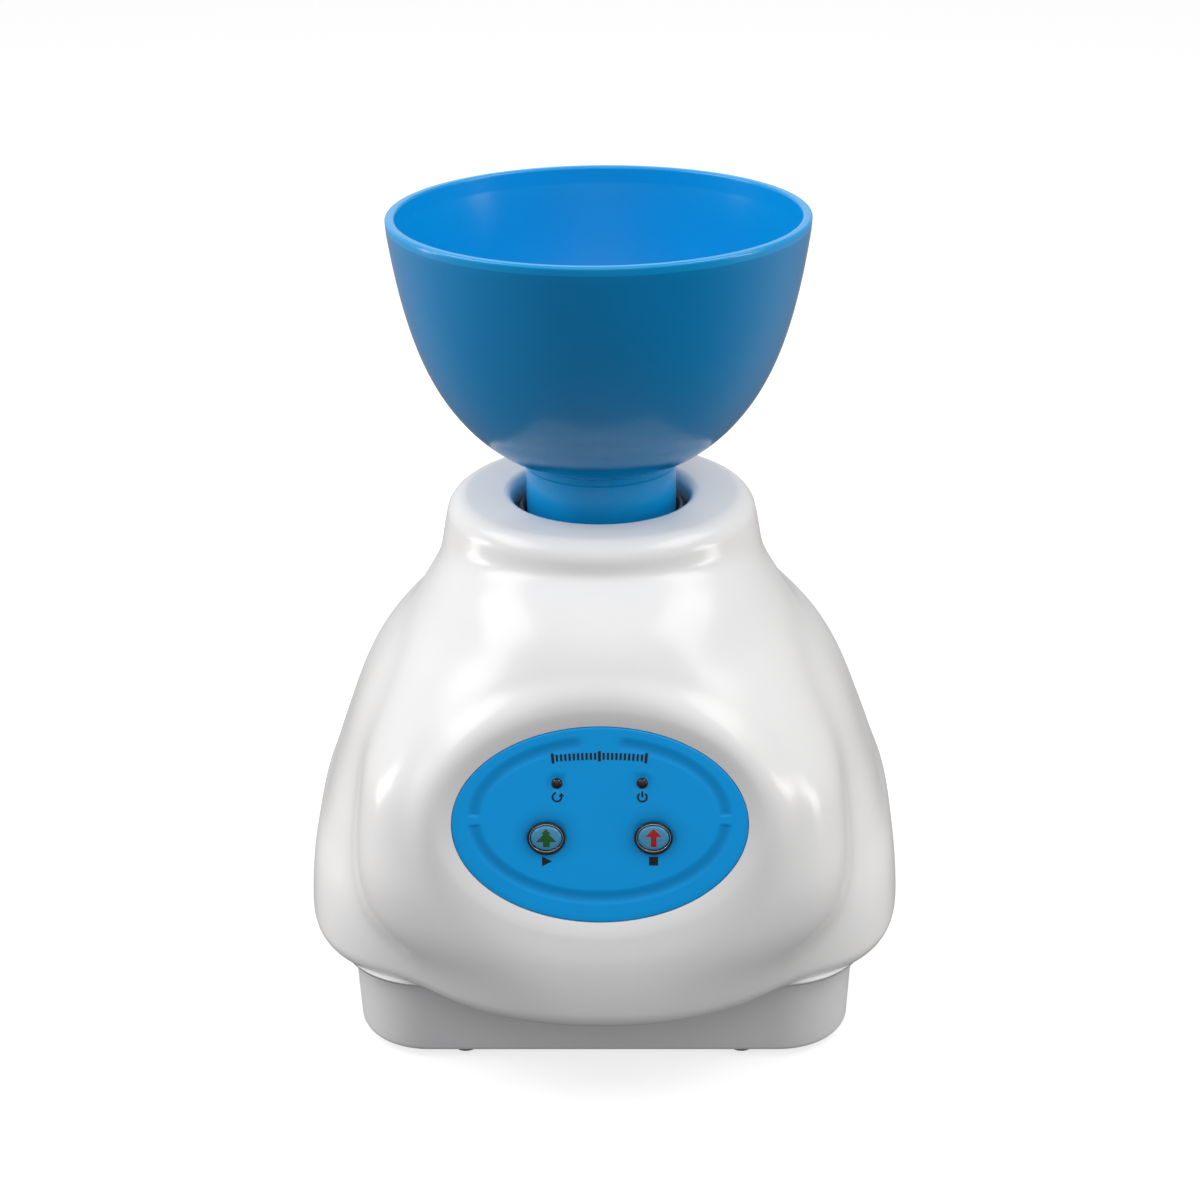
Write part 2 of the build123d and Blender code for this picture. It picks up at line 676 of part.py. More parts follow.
with BuildPart() as motor_bushes:
    for z0 in (mz - 2.0, mz + 40.5):
        with BuildSketch(motor_plane.offset(z0)):
            Circle(4.98)
            Circle(3.03, mode=Mode.SUBTRACT)
        extrude(amount=6)
motor_bushes.part.label = "motor_bushes"
export_step(motor_bushes.part, "parts/motor_bushes.step")

with BuildPart() as motor_magnets:
    with BuildSketch(motor_plane.offset(mz + 15)):
        Circle(motor_r - 1.55)
        Circle(20.2, mode=Mode.SUBTRACT)
        Rectangle(24, 60, mode=Mode.SUBTRACT)
    extrude(amount=27)
motor_magnets.part.label = "motor_magnets"
export_step(motor_magnets.part, "parts/motor_magnets.step")

with BuildPart() as motor_shaft:
    with BuildSketch(motor_plane.offset(36.5)):
        Circle(2.98)
    extrude(amount=mz + 46 - 36.5)
    chamfer(motor_shaft.edges().group_by(Axis.Z)[0], 0.4)
motor_shaft.part.label = "motor_shaft"
export_step(motor_shaft.part, "parts/motor_shaft.step")

with BuildPart() as motor_rotor:
    with BuildSketch(motor_plane.offset(mz + 17)):
        Circle(19.4)
        with PolarLocations(17.0, 8):
            Circle(3.1, mode=Mode.SUBTRACT)
            with Locations((2.5, 0)):
                Rectangle(3, 1.6, mode=Mode.SUBTRACT)
        Circle(3.0, mode=Mode.SUBTRACT)
    extrude(amount=22)
motor_rotor.part.label = "motor_rotor"
export_step(motor_rotor.part, "parts/motor_rotor.step")

with BuildPart() as rotor_windings:
    for z0, z1 in ((mz + 14.2, mz + 17), (mz + 39, mz + 40)):
        with BuildSketch(motor_plane.offset(z0)):
            Circle(17.6)
            Circle(9.0, mode=Mode.SUBTRACT)
        extrude(amount=z1 - z0)
    with BuildSketch(motor_plane.offset(mz + 16.5)):
        with PolarLocations(17.0, 8):
            Circle(2.8)
    extrude(amount=23)
rotor_windings.part.label = "rotor_windings"
export_step(rotor_windings.part, "parts/rotor_windings.step")

with BuildPart() as commutator:
    with BuildSketch(motor_plane.offset(mz + 5.2)):
        Circle(7.5)
        Circle(3.0, mode=Mode.SUBTRACT)
    extrude(amount=8.4)
commutator.part.label = "commutator"
export_step(commutator.part, "parts/commutator.step")

with BuildPart() as motor_brushes:
    with BuildSketch(motor_plane.offset(mz + 6.8)):
        with Locations((12.4, 0), (-12.4, 0)):
            Rectangle(9, 4.4)
        Circle(7.6, mode=Mode.SUBTRACT)
    extrude(amount=5)
motor_brushes.part.label = "motor_brushes"
export_step(motor_brushes.part, "parts/motor_brushes.step")

with BuildPart() as motor_pulley:
    with BuildSketch(motor_plane.offset(39.4)):
        Circle(motor_pulley_r + 2.2)
    extrude(amount=9.2)
    with BuildSketch(motor_plane.offset(37.2)):
        Circle(6.5)
    extrude(amount=13)
    with BuildSketch(motor_plane.offset(pulley_z - 3.5)):
        Circle(motor_pulley_r + 4)
        Circle(motor_pulley_r, mode=Mode.SUBTRACT)
    extrude(amount=7, mode=Mode.SUBTRACT)
    with BuildSketch(motor_plane.offset(30)):
        Circle(3.0)
    extrude(amount=30, mode=Mode.SUBTRACT)
motor_pulley.part.label = "motor_pulley"
export_step(motor_pulley.part, "parts/motor_pulley.step")

with BuildPart() as motor_screws:
    with BuildSketch(motor_plane.offset(deck_z - 2.4)):
        with Locations((-14, 0), (14, 0)):
            Circle(3.0)
    extrude(amount=2.4)
    with BuildSketch(motor_plane.offset(deck_z)):
        with Locations((-14, 0), (14, 0)):
            Circle(1.7)
    extrude(amount=6)
motor_screws.part.label = "motor_screws"
export_step(motor_screws.part, "parts/motor_screws.step")

# belt round both pulleys, 0.3 mm off the pulley faces
with BuildPart() as drive_belt:
    with BuildSketch(Plane.XY.offset(pulley_z - belt_w / 2)):
        Circle(spindle_pulley_r + 0.3 + belt_t)
        with Locations((motor_x, motor_y)):
            Circle(motor_pulley_r + 0.3 + belt_t)
        make_hull()
    extrude(amount=belt_w)
    with BuildSketch(Plane.XY.offset(pulley_z - belt_w / 2)):
        Circle(spindle_pulley_r + 0.3)
        with Locations((motor_x, motor_y)):
            Circle(motor_pulley_r + 0.3)
        make_hull()
    extrude(amount=belt_w, mode=Mode.SUBTRACT)
drive_belt.part.label = "drive_belt"
export_step(drive_belt.part, "parts/drive_belt.step")

# ---------------------------------------------------------------------------
# Control panel
# ---------------------------------------------------------------------------
with BuildPart() as control_panel:
    with BuildSketch(panel_plane.offset(-panel_t)):
        Ellipse(panel_a, panel_b)
        with Locations((-button_u, button_v), (button_u, button_v)):
            Ellipse(5.0, 4.1, mode=Mode.SUBTRACT)
        with Locations((-lamp_u, lamp_v), (lamp_u, lamp_v)):
            Circle(1.6, mode=Mode.SUBTRACT)
    extrude(amount=panel_t)
control_panel.part.label = "control_panel"
export_step(control_panel.part, "parts/control_panel.step")

for word, sx in (("start", -1), ("stop", 1)):
    bu = sx * button_u
    with BuildPart() as bezel:
        with BuildSketch(panel_plane.offset(-panel_t)):
            with Locations((bu, button_v)):
                Ellipse(4.97, 4.07)
                Ellipse(4.62, 3.72, mode=Mode.SUBTRACT)
        extrude(amount=panel_t)
        with BuildSketch(panel_plane):
            with Locations((bu, button_v)):
                Ellipse(5.75, 4.85)
                Ellipse(4.62, 3.72, mode=Mode.SUBTRACT)
        extrude(amount=0.9)
    bezel.part.label = word + "_bezel"
    export_step(bezel.part, "parts/" + word + "_bezel.step")

    with BuildPart() as button:
        with BuildSketch(panel_plane.offset(-3.2)):
            with Locations((bu, button_v)):
                Ellipse(5.8, 4.9)
        extrude(amount=1.2)
        with BuildSketch(panel_plane.offset(-3.2)):
            with Locations((bu, button_v)):
                Ellipse(4.3, 3.4)
        extrude(amount=4.6)
        fillet(button.edges().group_by(Axis(panel_plane.origin, panel_plane.z_dir))[-1], 0.6)
        with BuildSketch(panel_plane.offset(-7.4)):
            with Locations((bu, button_v)):
                Circle(1.8)
        extrude(amount=5)
    button.part.label = word + "_button"
    export_step(button.part, "parts/" + word + "_button.step")

    with BuildPart() as plunger:
        with BuildSketch(panel_plane.offset(-9.6)):
            with Locations((bu, button_v)):
                Circle(1.7)
        extrude(amount=2.2)
    plunger.part.label = word + "_plunger"
    export_step(plunger.part, "parts/" + word + "_plunger.step")

for word, sx in (("running", -1), ("power", 1)):
    with BuildPart() as lamp:
        with BuildSketch(panel_plane.offset(-4.0)):
            with Locations((sx * lamp_u, lamp_v)):
                Circle(1.5)
        extrude(amount=4.8)
        fillet(lamp.edges().group_by(Axis(panel_plane.origin, panel_plane.z_dir))[-1], 0.7)
        with BuildSketch(panel_plane.offset(-5.2)):
            with Locations((sx * lamp_u, lamp_v)):
                Circle(1.9)
        extrude(amount=1.4)
        with BuildSketch(panel_plane.offset(-12.8)):
            with Locations((sx * lamp_u - 0.8, lamp_v), (sx * lamp_u + 0.8, lamp_v)):
                Rectangle(0.5, 0.5)
        extrude(amount=7.8)
    lamp.part.label = word + "_lamp"
    export_step(lamp.part, "parts/" + word + "_lamp.step")

with BuildPart() as tact_switches:
    with BuildSketch(panel_plane.offset(-12.8)):
        with Locations((-button_u, button_v), (button_u, button_v)):
            Rectangle(6.2, 6.2)
    extrude(amount=3.8)
    with BuildSketch(panel_plane.offset(-11.6)):
        with Locations((-button_u, button_v), (button_u, button_v)):
            Circle(2.0)
    extrude(amount=6, mode=Mode.SUBTRACT)
tact_switches.part.label = "tact_switches"
export_step(tact_switches.part, "parts/tact_switches.step")

standoff_uv = [(-29, -13), (29, -13), (-29, 13), (29, 13)]
with BuildPart() as control_board:
    with BuildSketch(panel_plane.offset(-14.4)):
        RectangleRounded(66, 33, 2)
        with Locations(*standoff_uv):
            Circle(1.4, mode=Mode.SUBTRACT)
    extrude(amount=1.6)
control_board.part.label = "control_board"
export_step(control_board.part, "parts/control_board.step")

with BuildPart() as board_standoffs:
    with BuildSketch(panel_plane.offset(-12.8)):
        with Locations(*standoff_uv):
            Circle(2.8)
            Circle(1.3, mode=Mode.SUBTRACT)
    extrude(amount=7.8)
board_standoffs.part.label = "board_standoffs"
export_step(board_standoffs.part, "parts/board_standoffs.step")

with BuildPart() as board_screws:
    with BuildSketch(panel_plane.offset(-16.2)):
        with Locations(*standoff_uv):
            Circle(2.4)
    extrude(amount=1.8)
    with BuildSketch(panel_plane.offset(-14.4)):
        with Locations(*standoff_uv):
            Circle(1.2)
    extrude(amount=7.4)
board_screws.part.label = "board_screws"
export_step(board_screws.part, "parts/board_screws.step")

with BuildPart() as board_components:
    with BuildSketch(panel_plane.offset(-16.4)):
        with Locations((0, 2)):
            Rectangle(11, 11)
    extrude(amount=2)
    with BuildSketch(panel_plane.offset(-24.4)):
        with Locations((-18, 6), (-18, -5)):
            Circle(4)
    extrude(amount=10)
    with BuildSketch(panel_plane.offset(-20.4)):
        with Locations((17, -8)):
            Rectangle(13, 6)
    extrude(amount=6)
board_components.part.label = "board_components"
export_step(board_components.part, "parts/board_components.step")

# ---------------------------------------------------------------------------
# Transformer in the left side bay, seen from the front
# ---------------------------------------------------------------------------
tr_x, tr_y = 57.0, 2.0
with BuildPart() as transformer_core:
    with BuildSketch(Plane.XY.offset(base_floor_z)):
        with Locations((tr_x, tr_y)):
            RectangleRounded(22, 52, 1)
    extrude(amount=2)
    with BuildSketch(Plane.XY.offset(base_floor_z + 2)):
        with Locations((tr_x, tr_y)):
            Rectangle(20, 38)
    extrude(amount=32)
    with BuildSketch(Plane.YZ.offset(tr_x - 15)):
        with Locations((tr_y - 9.5, base_floor_z + 18), (tr_y + 9.5, base_floor_z + 18)):
            Rectangle(6.5, 19)
    extrude(amount=30, mode=Mode.SUBTRACT)
transformer_core.part.label = "transformer_core"
export_step(transformer_core.part, "parts/transformer_core.step")

with BuildPart() as transformer_coil:
    with BuildSketch(Plane.XY.offset(base_floor_z + 9)):
        with Locations((tr_x, tr_y)):
            RectangleRounded(32, 25, 3)
            Rectangle(20.2, 12.7, mode=Mode.SUBTRACT)
    extrude(amount=18)
transformer_coil.part.label = "transformer_coil"
export_step(transformer_coil.part, "parts/transformer_coil.step")

# ---------------------------------------------------------------------------
# Rear: mains inlet with its fuse drawer, and the rocker switch
# Planes here face the back: local x is -X, local y is +Z
# ---------------------------------------------------------------------------
def back(y):
    return Plane(origin=(0, y, 0), x_dir=(-1, 0, 0), z_dir=(0, 1, 0))


with BuildPart() as mains_inlet:
    with BuildSketch(back(rear_y)):
        with Locations((-inlet_x, rear_zc)):
            RectangleRounded(49, 30, 5)
    extrude(amount=2.5)
    with BuildSketch(back(rear_y - 23)):
        with Locations((-inlet_x, rear_zc)):
            RectangleRounded(28, 25, 1.5)
    extrude(amount=23)
    # socket
    with BuildSketch(back(rear_y - 14)):
        with BuildLine():
            Polyline(*[(-inlet_x + u, rear_zc + 3.6 + v) for u, v in
                       ((-12, -7.6), (12, -7.6), (12, 3.2), (8, 7.6), (-8, 7.6), (-12, 3.2))], close=True)
        make_face()
    extrude(amount=20, mode=Mode.SUBTRACT)
    # slot for the fuse drawer
    with BuildSketch(back(rear_y - 21)):
        with Locations((-inlet_x, rear_zc - 8.6)):
            Rectangle(24.6, 6.6)
    extrude(amount=30, mode=Mode.SUBTRACT)
    with BuildSketch(back(rear_y - 1)):
        with Locations((-inlet_x - 20, rear_zc), (-inlet_x + 20, rear_zc)):
            Circle(1.8)
    extrude(amount=6, mode=Mode.SUBTRACT)
mains_inlet.part.label = "mains_inlet"
export_step(mains_inlet.part, "parts/mains_inlet.step")

with BuildPart() as inlet_pins:
    with BuildSketch(back(rear_y - 14)):
        with Locations((-inlet_x - 7, rear_zc + 2.2), (-inlet_x, rear_zc + 5.6), (-inlet_x + 7, rear_zc + 2.2)):
            Rectangle(2, 4)
    extrude(amount=11)
inlet_pins.part.label = "inlet_pins"
export_step(inlet_pins.part, "parts/inlet_pins.step")

with BuildPart() as inlet_screws:
    with BuildSketch(back(rear_y + 2.5)):
        with Locations((-inlet_x - 20, rear_zc), (-inlet_x + 20, rear_zc)):
            Circle(2.9)
            RegularPolygon(1.2, 6, mode=Mode.SUBTRACT)
    extrude(amount=1.4)
    with BuildSketch(back(rear_y - 5.5)):
        with Locations((-inlet_x - 20, rear_zc), (-inlet_x + 20, rear_zc)):
            Circle(1.25)
    extrude(amount=8.4)
inlet_screws.part.label = "inlet_screws"
export_step(inlet_screws.part, "parts/inlet_screws.step")

with BuildPart() as fuse_drawer:
    with BuildSketch(back(rear_y - 19)):
        with Locations((-inlet_x, rear_zc - 8.6)):
            Rectangle(24.0, 6.0)
    extrude(amount=22.6)
    with BuildSketch(Plane.XY.offset(rear_zc - 8.6 - 1.8)):
        with Locations((inlet_x, rear_y - 12.4)):
            Rectangle(21.4, 6.4)
    extrude(amount=8, mode=Mode.SUBTRACT)
    with BuildSketch(back(rear_y + 2.9)):
        with Locations((-inlet_x, rear_zc - 7.4)):
            SlotOverall(9, 1.8)
    extrude(amount=4, mode=Mode.SUBTRACT)
fuse_drawer.part.label = "fuse_drawer"
export_step(fuse_drawer.part, "parts/fuse_drawer.step")

with BuildPart() as fuse:
    with BuildSketch(Plane.YZ.offset(inlet_x - 10)):
        with Locations((rear_y - 12.4, rear_zc - 8.0)):
            Circle(2.1)
    extrude(amount=20)
    with BuildSketch(Plane.YZ.offset(inlet_x - 10)):
        with Locations((rear_y - 12.4, rear_zc - 8.0)):
            Circle(2.25)
    extrude(amount=5)
    with BuildSketch(Plane.YZ.offset(inlet_x + 5)):
        with Locations((rear_y - 12.4, rear_zc - 8.0)):
            Circle(2.25)
    extrude(amount=5)
fuse.part.label = "fuse"
export_step(fuse.part, "parts/fuse.step")

pivot_y, pivot_z = rear_y - 1.0, rear_zc
with BuildPart() as power_switch_frame:
    with BuildSketch(back(rear_y)):
        with Locations((-switch_x, rear_zc)):
            RectangleRounded(17, 24, 2)
    extrude(amount=1.8)
    with BuildSketch(back(rear_y - 14)):
        with Locations((-switch_x, rear_zc)):
            Rectangle(13, 20)
    extrude(amount=14)
    with BuildSketch(back(rear_y - 12)):
        with Locations((-switch_x, rear_zc)):
            Rectangle(10.6, 18.2)
    extrude(amount=30, mode=Mode.SUBTRACT)
    with BuildSketch(Plane.YZ.offset(switch_x - 6.3)):
        with Locations((pivot_y, pivot_z)):
            Circle(1.05)
    extrude(amount=12.6, mode=Mode.SUBTRACT)
    with BuildSketch(back(rear_y - 22)):
        with Locations((-switch_x, rear_zc - 5), (-switch_x, rear_zc + 1)):
            Rectangle(4.8, 0.8)
    extrude(amount=8.5)
power_switch_frame.part.label = "power_switch_frame"
export_step(power_switch_frame.part, "parts/power_switch_frame.step")

# rocker, at rest in its off position, tilted about its pivot
rock = 10.0
rocker_plane = Plane(
    origin=(0, pivot_y, pivot_z),
    x_dir=(0, math.cos(math.radians(rock)), math.sin(math.radians(rock))),
    z_dir=(1, 0, 0),
)
with BuildPart() as power_switch_rocker:
    with BuildSketch(rocker_plane.offset(switch_x - 5.1)):
        with BuildLine():
            Polyline((-2.4, -7.2), (4.6, -8.1), (3.2, -4.0), (2.6, 0), (3.2, 4.0), (4.6, 8.1), (-2.4, 7.2),
                     (-4.6, 0), close=True)
        make_face()
    extrude(amount=10.2)
    with BuildSketch(rocker_plane.offset(switch_x - 6.2)):
        Circle(1.0)
    extrude(amount=12.4)
power_switch_rocker.part.label = "power_switch_rocker"
export_step(power_switch_rocker.part, "parts/power_switch_rocker.step")
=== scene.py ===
import math

import bpy
import numpy as np
from mathutils import Matrix, Vector
from mathutils.geometry import delaunay_2d_cdt


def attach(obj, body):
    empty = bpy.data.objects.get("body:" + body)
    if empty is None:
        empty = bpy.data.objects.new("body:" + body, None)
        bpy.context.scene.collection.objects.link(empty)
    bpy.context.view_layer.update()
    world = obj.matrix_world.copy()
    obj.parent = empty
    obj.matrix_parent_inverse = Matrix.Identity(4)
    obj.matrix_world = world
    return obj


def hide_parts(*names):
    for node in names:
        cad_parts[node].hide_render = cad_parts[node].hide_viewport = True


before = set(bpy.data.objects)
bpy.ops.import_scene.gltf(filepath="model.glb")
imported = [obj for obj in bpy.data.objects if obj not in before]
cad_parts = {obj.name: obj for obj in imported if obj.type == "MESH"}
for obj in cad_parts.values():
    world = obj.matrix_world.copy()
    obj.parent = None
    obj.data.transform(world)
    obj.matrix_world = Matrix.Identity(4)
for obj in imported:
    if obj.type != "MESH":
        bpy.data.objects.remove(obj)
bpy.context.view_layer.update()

MM = 0.001
scene = bpy.context.scene

# ---------------------------------------------------------------------------
# Camera: at the photograph's viewing angle
# ---------------------------------------------------------------------------
cam_data = bpy.data.cameras.new("camera")
cam_data.sensor_width = 36.0
cam_data.lens = 65.73
cam_data.shift_x = -0.0021
cam_data.clip_start = 0.05
cam_data.clip_end = 20.0
cam = bpy.data.objects.new("camera", cam_data)
scene.collection.objects.link(cam)
cam.matrix_world = (
    Matrix.Translation(Vector((11.48, -657.7, 417.7)) * MM)
    @ Matrix.Rotation(math.radians(1.0), 4, "Z")
    @ Matrix.Rotation(math.radians(90 - 23.7), 4, "X")
    @ Matrix.Rotation(math.radians(-0.6), 4, "Z")
)
scene.camera = cam


# ---------------------------------------------------------------------------
# Mesh helpers. All lengths are in millimetres until a mesh is made.
# ---------------------------------------------------------------------------
class Builder:
    """Collects vertices and faces, with a material number for each face."""

    def __init__(self):
        self.v, self.f, self.m, self.count = [], [], [], 0

    def add_verts(self, pts):
        pts = np.asarray(pts, float).reshape(-1, 3)
        start = self.count
        self.v.append(pts)
        self.count += len(pts)
        return np.arange(start, self.count)

    def quads(self, a, b, c, d, mat=0):
        q = np.stack([a, b, c, d], -1).reshape(-1, 4)
        self.f += q.tolist()
        self.m += [mat] * len(q)

    def faces(self, rows, mat=0):
        rows = [list(map(int, r)) for r in rows]
        self.f += rows
        self.m += [mat] * len(rows)

    def loops(self, loops, closed=True, mat=0, flip=False):
        """Joins rows of equal length. Each row is a closed ring if closed."""
        for i in range(len(loops) - 1):
            a, b = np.asarray(loops[i]), np.asarray(loops[i + 1])
            m = mat[i] if isinstance(mat, (list, tuple)) else mat
            if closed:
                a2, b2 = np.roll(a, -1), np.roll(b, -1)
            else:
                a, a2, b, b2 = a[:-1], a[1:], b[:-1], b[1:]
            if flip:
                self.quads(a, b, b2, a2, m)
            else:
                self.quads(a, a2, b2, b, m)

    def fan(self, ring, centre, mat=0, flip=False):
        c = int(self.add_verts([centre])[0])
        ring = list(map(int, ring))
        for i, a in enumerate(ring):
            b = ring[(i + 1) % len(ring)]
            self.f.append([b, a, c] if flip else [a, b, c])
            self.m.append(mat)

    def object(self, name, mats, body, sharp=38.0, weld=0.0, slot=None, replaces=()):
        v = np.concatenate(self.v) * MM
        me = bpy.data.meshes.new(name)
        me.from_pydata(v.tolist(), [], self.f)
        me.validate()
        if weld:
            import bmesh

            bm = bmesh.new()
            bm.from_mesh(me)
            bmesh.ops.remove_doubles(bm, verts=bm.verts, dist=weld * MM)
            bm.to_mesh(me)
            bm.free()
            me.polygons.foreach_set("material_index", np.zeros(len(me.polygons), np.int32)) if len(mats) == 1 else None
        else:
            if len(self.m) == len(me.polygons):
                me.polygons.foreach_set("material_index", np.array(self.m, np.int32))
        for m in mats:
            me.materials.append(m)
        me.polygons.foreach_set("use_smooth", np.ones(len(me.polygons), bool))
        me.set_sharp_from_angle(angle=math.radians(sharp))
        me.update()
        o = bpy.data.objects.new(name, me)
        scene.collection.objects.link(o)
        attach(o, body)
        if replaces:
            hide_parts(*replaces)
        return o


def modified(o, *mods):
    """Adds the modifiers, applies them and keeps the plain mesh."""
    for kind, settings in mods:
        m = o.modifiers.new(kind, kind)
        for k, val in settings.items():
            setattr(m, k, val)
    dg = bpy.context.evaluated_depsgraph_get()
    me = bpy.data.meshes.new_from_object(o.evaluated_get(dg), depsgraph=dg)
    me.name = o.name + "_mesh"
    o.modifiers.clear()
    o.data = me
    return o


def inside(poly, pts):
    """Which points lie inside the polygon."""
    poly, pts = np.asarray(poly, float), np.asarray(pts, float)
    x, y = pts[:, 0], pts[:, 1]
    res = np.zeros(len(pts), bool)
    j = len(poly) - 1
    for i in range(len(poly)):
        xi, yi, xj, yj = *poly[i], *poly[j]
        if yi != yj:
            hit = ((yi > y) != (yj > y)) & (x < (xj - xi) * (y - yi) / (yj - yi) + xi)
            res ^= hit
        j = i
    return res


def fill(loops2, extra=(), keep=None):
    """Triangles of the region inside loops2[0] and outside the others, with extra points in it.
    Points keep their order: all loops, then the extra ones."""
    pts, edges = [], []
    for lp in loops2:
        s = len(pts)
        pts += [tuple(p) for p in lp]
        edges += [(s + i, s + (i + 1) % len(lp)) for i in range(len(lp))]
    pts += [tuple(p) for p in extra]
    out_v, _, out_f, orig, _, _ = delaunay_2d_cdt([Vector(p) for p in pts], edges, [], 0, 1e-7, True)
    where = {}
    for i, o in enumerate(orig):
        where[i] = o[0] if o else None
    tri = np.array([t for t in out_f if len(t) == 3], int)
    v = np.array([tuple(p) for p in out_v])
    c = v[tri].mean(1)
    ok = inside(loops2[0], c)
    for lp in loops2[1:]:
        ok &= ~inside(lp, c)
    tri = tri[ok]
    e1, e2 = v[tri[:, 1]] - v[tri[:, 0]], v[tri[:, 2]] - v[tri[:, 0]]
    area = e1[:, 0] * e2[:, 1] - e1[:, 1] * e2[:, 0]
    tri[area < 0] = tri[area < 0][:, ::-1]
    tri = tri[np.abs(area) > 1e-9]
    return [[where[i] for i in t] for t in tri.tolist() if all(where[i] is not None for i in t)]


def ellipse(a, b, n, cx=0.0, cy=0.0, offset=0.0):
    t = np.arange(n) * 2 * np.pi / n
    p = np.stack([a * np.cos(t), b * np.sin(t)], -1)
    nrm = np.stack([b * np.cos(t), a * np.sin(t)], -1)
    nrm /= np.linalg.norm(nrm, axis=1)[:, None]
    return p + nrm * offset + [cx, cy]


def rounded_rect(w, h, r, per_corner=12, per_side=(24, 16), cx=0.0, cy=0.0):
    """Counter-clockwise from the middle of the right side's lower corner."""
    pts = []
    hw, hh = w / 2, h / 2
    corners = [(hw - r, hh - r, 0), (-hw + r, hh - r, 90), (-hw + r, -hh + r, 180), (hw - r, -hh + r, 270)]
    for k, (x, y, a0) in enumerate(corners):
        arc = [(x + r * math.cos(math.radians(a0 + 90 * i / per_corner)), y + r * math.sin(math.radians(a0 + 90 * i / per_corner))) for i in range(per_corner + 1)]
        pts += arc
        nx, ny, na = corners[(k + 1) % 4]
        nxt = (nx + r * math.cos(math.radians(na)), ny + r * math.sin(math.radians(na)))
        n = per_side[k % 2]
        last = arc[-1]
        pts += [(last[0] + (nxt[0] - last[0]) * i / n, last[1] + (nxt[1] - last[1]) * i / n) for i in range(1, n)]
    return np.array(pts) + [cx, cy]


def normals2(loop):
    """Outward normals of a counter-clockwise closed loop."""
    d = np.roll(loop, -1, 0) - np.roll(loop, 1, 0)
    n = np.stack([d[:, 1], -d[:, 0]], -1)
    return n / np.linalg.norm(n, axis=1)[:, None]


def lathe(profile, n=160, name="", mats=(), body="", close=False, mat=0, **kw):
    """Turns (r, z) points about the Z axis. Points on the axis become a fan."""
    b = Builder()
    t = np.arange(n) * 2 * np.pi / n
    rings, on_axis = [], {}
    for i, (r, z) in enumerate(profile):
        if r < 1e-6:
            on_axis[i] = (0, 0, z)
            rings.append(None)
        else:
            rings.append(b.add_verts(np.stack([r * np.cos(t), r * np.sin(t), np.full(n, z)], -1)))
    k = len(profile)
    for i in range(k if close else k - 1):
        j = (i + 1) % k
        m = mat[i] if isinstance(mat, (list, tuple)) else mat
        if rings[i] is None and rings[j] is None:
            continue
        if rings[i] is None:
            b.fan(rings[j], on_axis[i], m, flip=True)
        elif rings[j] is None:
            b.fan(rings[i], on_axis[j], m)
        else:
            b.loops([rings[i], rings[j]], mat=m)
    return b.object(name, mats, body, **kw)


def round_profile(pts, radii, seg=5):
    """Rounds the corners of an open (r, z) line. radii has one number for each point."""
    out = []
    n = len(pts)
    for i, p in enumerate(pts):
        p = np.array(p, float)
        r = radii[i]
        if r <= 0 or i in (0, n - 1):
            out.append(tuple(p))
            continue
        a, b = np.array(pts[i - 1], float) - p, np.array(pts[i + 1], float) - p
        la, lb = np.linalg.norm(a), np.linalg.norm(b)
        a, b = a / la, b / lb
        ang = math.acos(max(-1, min(1, float(a @ b))))
        t = min(r / math.tan(ang / 2), 0.49 * la, 0.49 * lb)
        rr = t * math.tan(ang / 2)
        bis = (a + b) / np.linalg.norm(a + b)
        c = p + bis * rr / math.sin(ang / 2)
        s, e = p + a * t - c, p + b * t - c
        a0, a1 = math.atan2(s[1], s[0]), math.atan2(e[1], e[0])
        d = (a1 - a0 + math.pi) % (2 * math.pi) - math.pi
        out += [(c[0] + rr * math.cos(a0 + d * k / seg), c[1] + rr * math.sin(a0 + d * k / seg)) for k in range(seg + 1)]
    return out


# ---------------------------------------------------------------------------
# Materials
# ---------------------------------------------------------------------------
def nt(name):
    m = bpy.data.materials.new(name)
    m.use_nodes = True
    t = m.node_tree
    t.nodes.clear()
    out = t.nodes.new("ShaderNodeOutputMaterial")
    p = t.nodes.new("ShaderNodeBsdfPrincipled")
    t.links.new(p.outputs[0], out.inputs[0])
    return m, t, p


def coords(t, scale=(1, 1, 1), space="Object"):
    c = t.nodes.new("ShaderNodeTexCoord")
    m = t.nodes.new("ShaderNodeMapping")
    m.inputs["Scale"].default_value = scale
    t.links.new(c.outputs[space], m.inputs[0])
    return m.outputs[0]


def noise(t, vec, scale, detail=3.0, rough=0.5, distort=0.0):
    n = t.nodes.new("ShaderNodeTexNoise")
    n.inputs["Scale"].default_value = scale
    n.inputs["Detail"].default_value = detail
    n.inputs["Roughness"].default_value = rough
    n.inputs["Distortion"].default_value = distort
    t.links.new(vec, n.inputs["Vector"])
    return n.outputs["Fac"]


def ranged(t, fac, lo, hi, a=0.3, b=0.7):
    r = t.nodes.new("ShaderNodeMapRange")
    r.inputs["From Min"].default_value = a
    r.inputs["From Max"].default_value = b
    r.inputs["To Min"].default_value = lo
    r.inputs["To Max"].default_value = hi
    t.links.new(fac, r.inputs["Value"])
    return r.outputs["Result"]


def mixed(t, fac, a, b):
    """Mix of two colours, each a tuple or a socket."""
    m = t.nodes.new("ShaderNodeMix")
    m.data_type = "RGBA"
    if hasattr(fac, "is_linked"):
        t.links.new(fac, m.inputs[0])
    else:
        m.inputs[0].default_value = fac
    for k, c in ((6, a), (7, b)):
        if hasattr(c, "is_linked"):
            t.links.new(c, m.inputs[k])
        else:
            m.inputs[k].default_value = (*c, 1)
    return m.outputs[2]


def bump(t, p, height, strength, distance):
    b = t.nodes.new("ShaderNodeBump")
    b.inputs["Strength"].default_value = strength
    b.inputs["Distance"].default_value = distance
    t.links.new(height, b.inputs["Height"])
    t.links.new(b.outputs[0], p.inputs["Normal"])
    return b


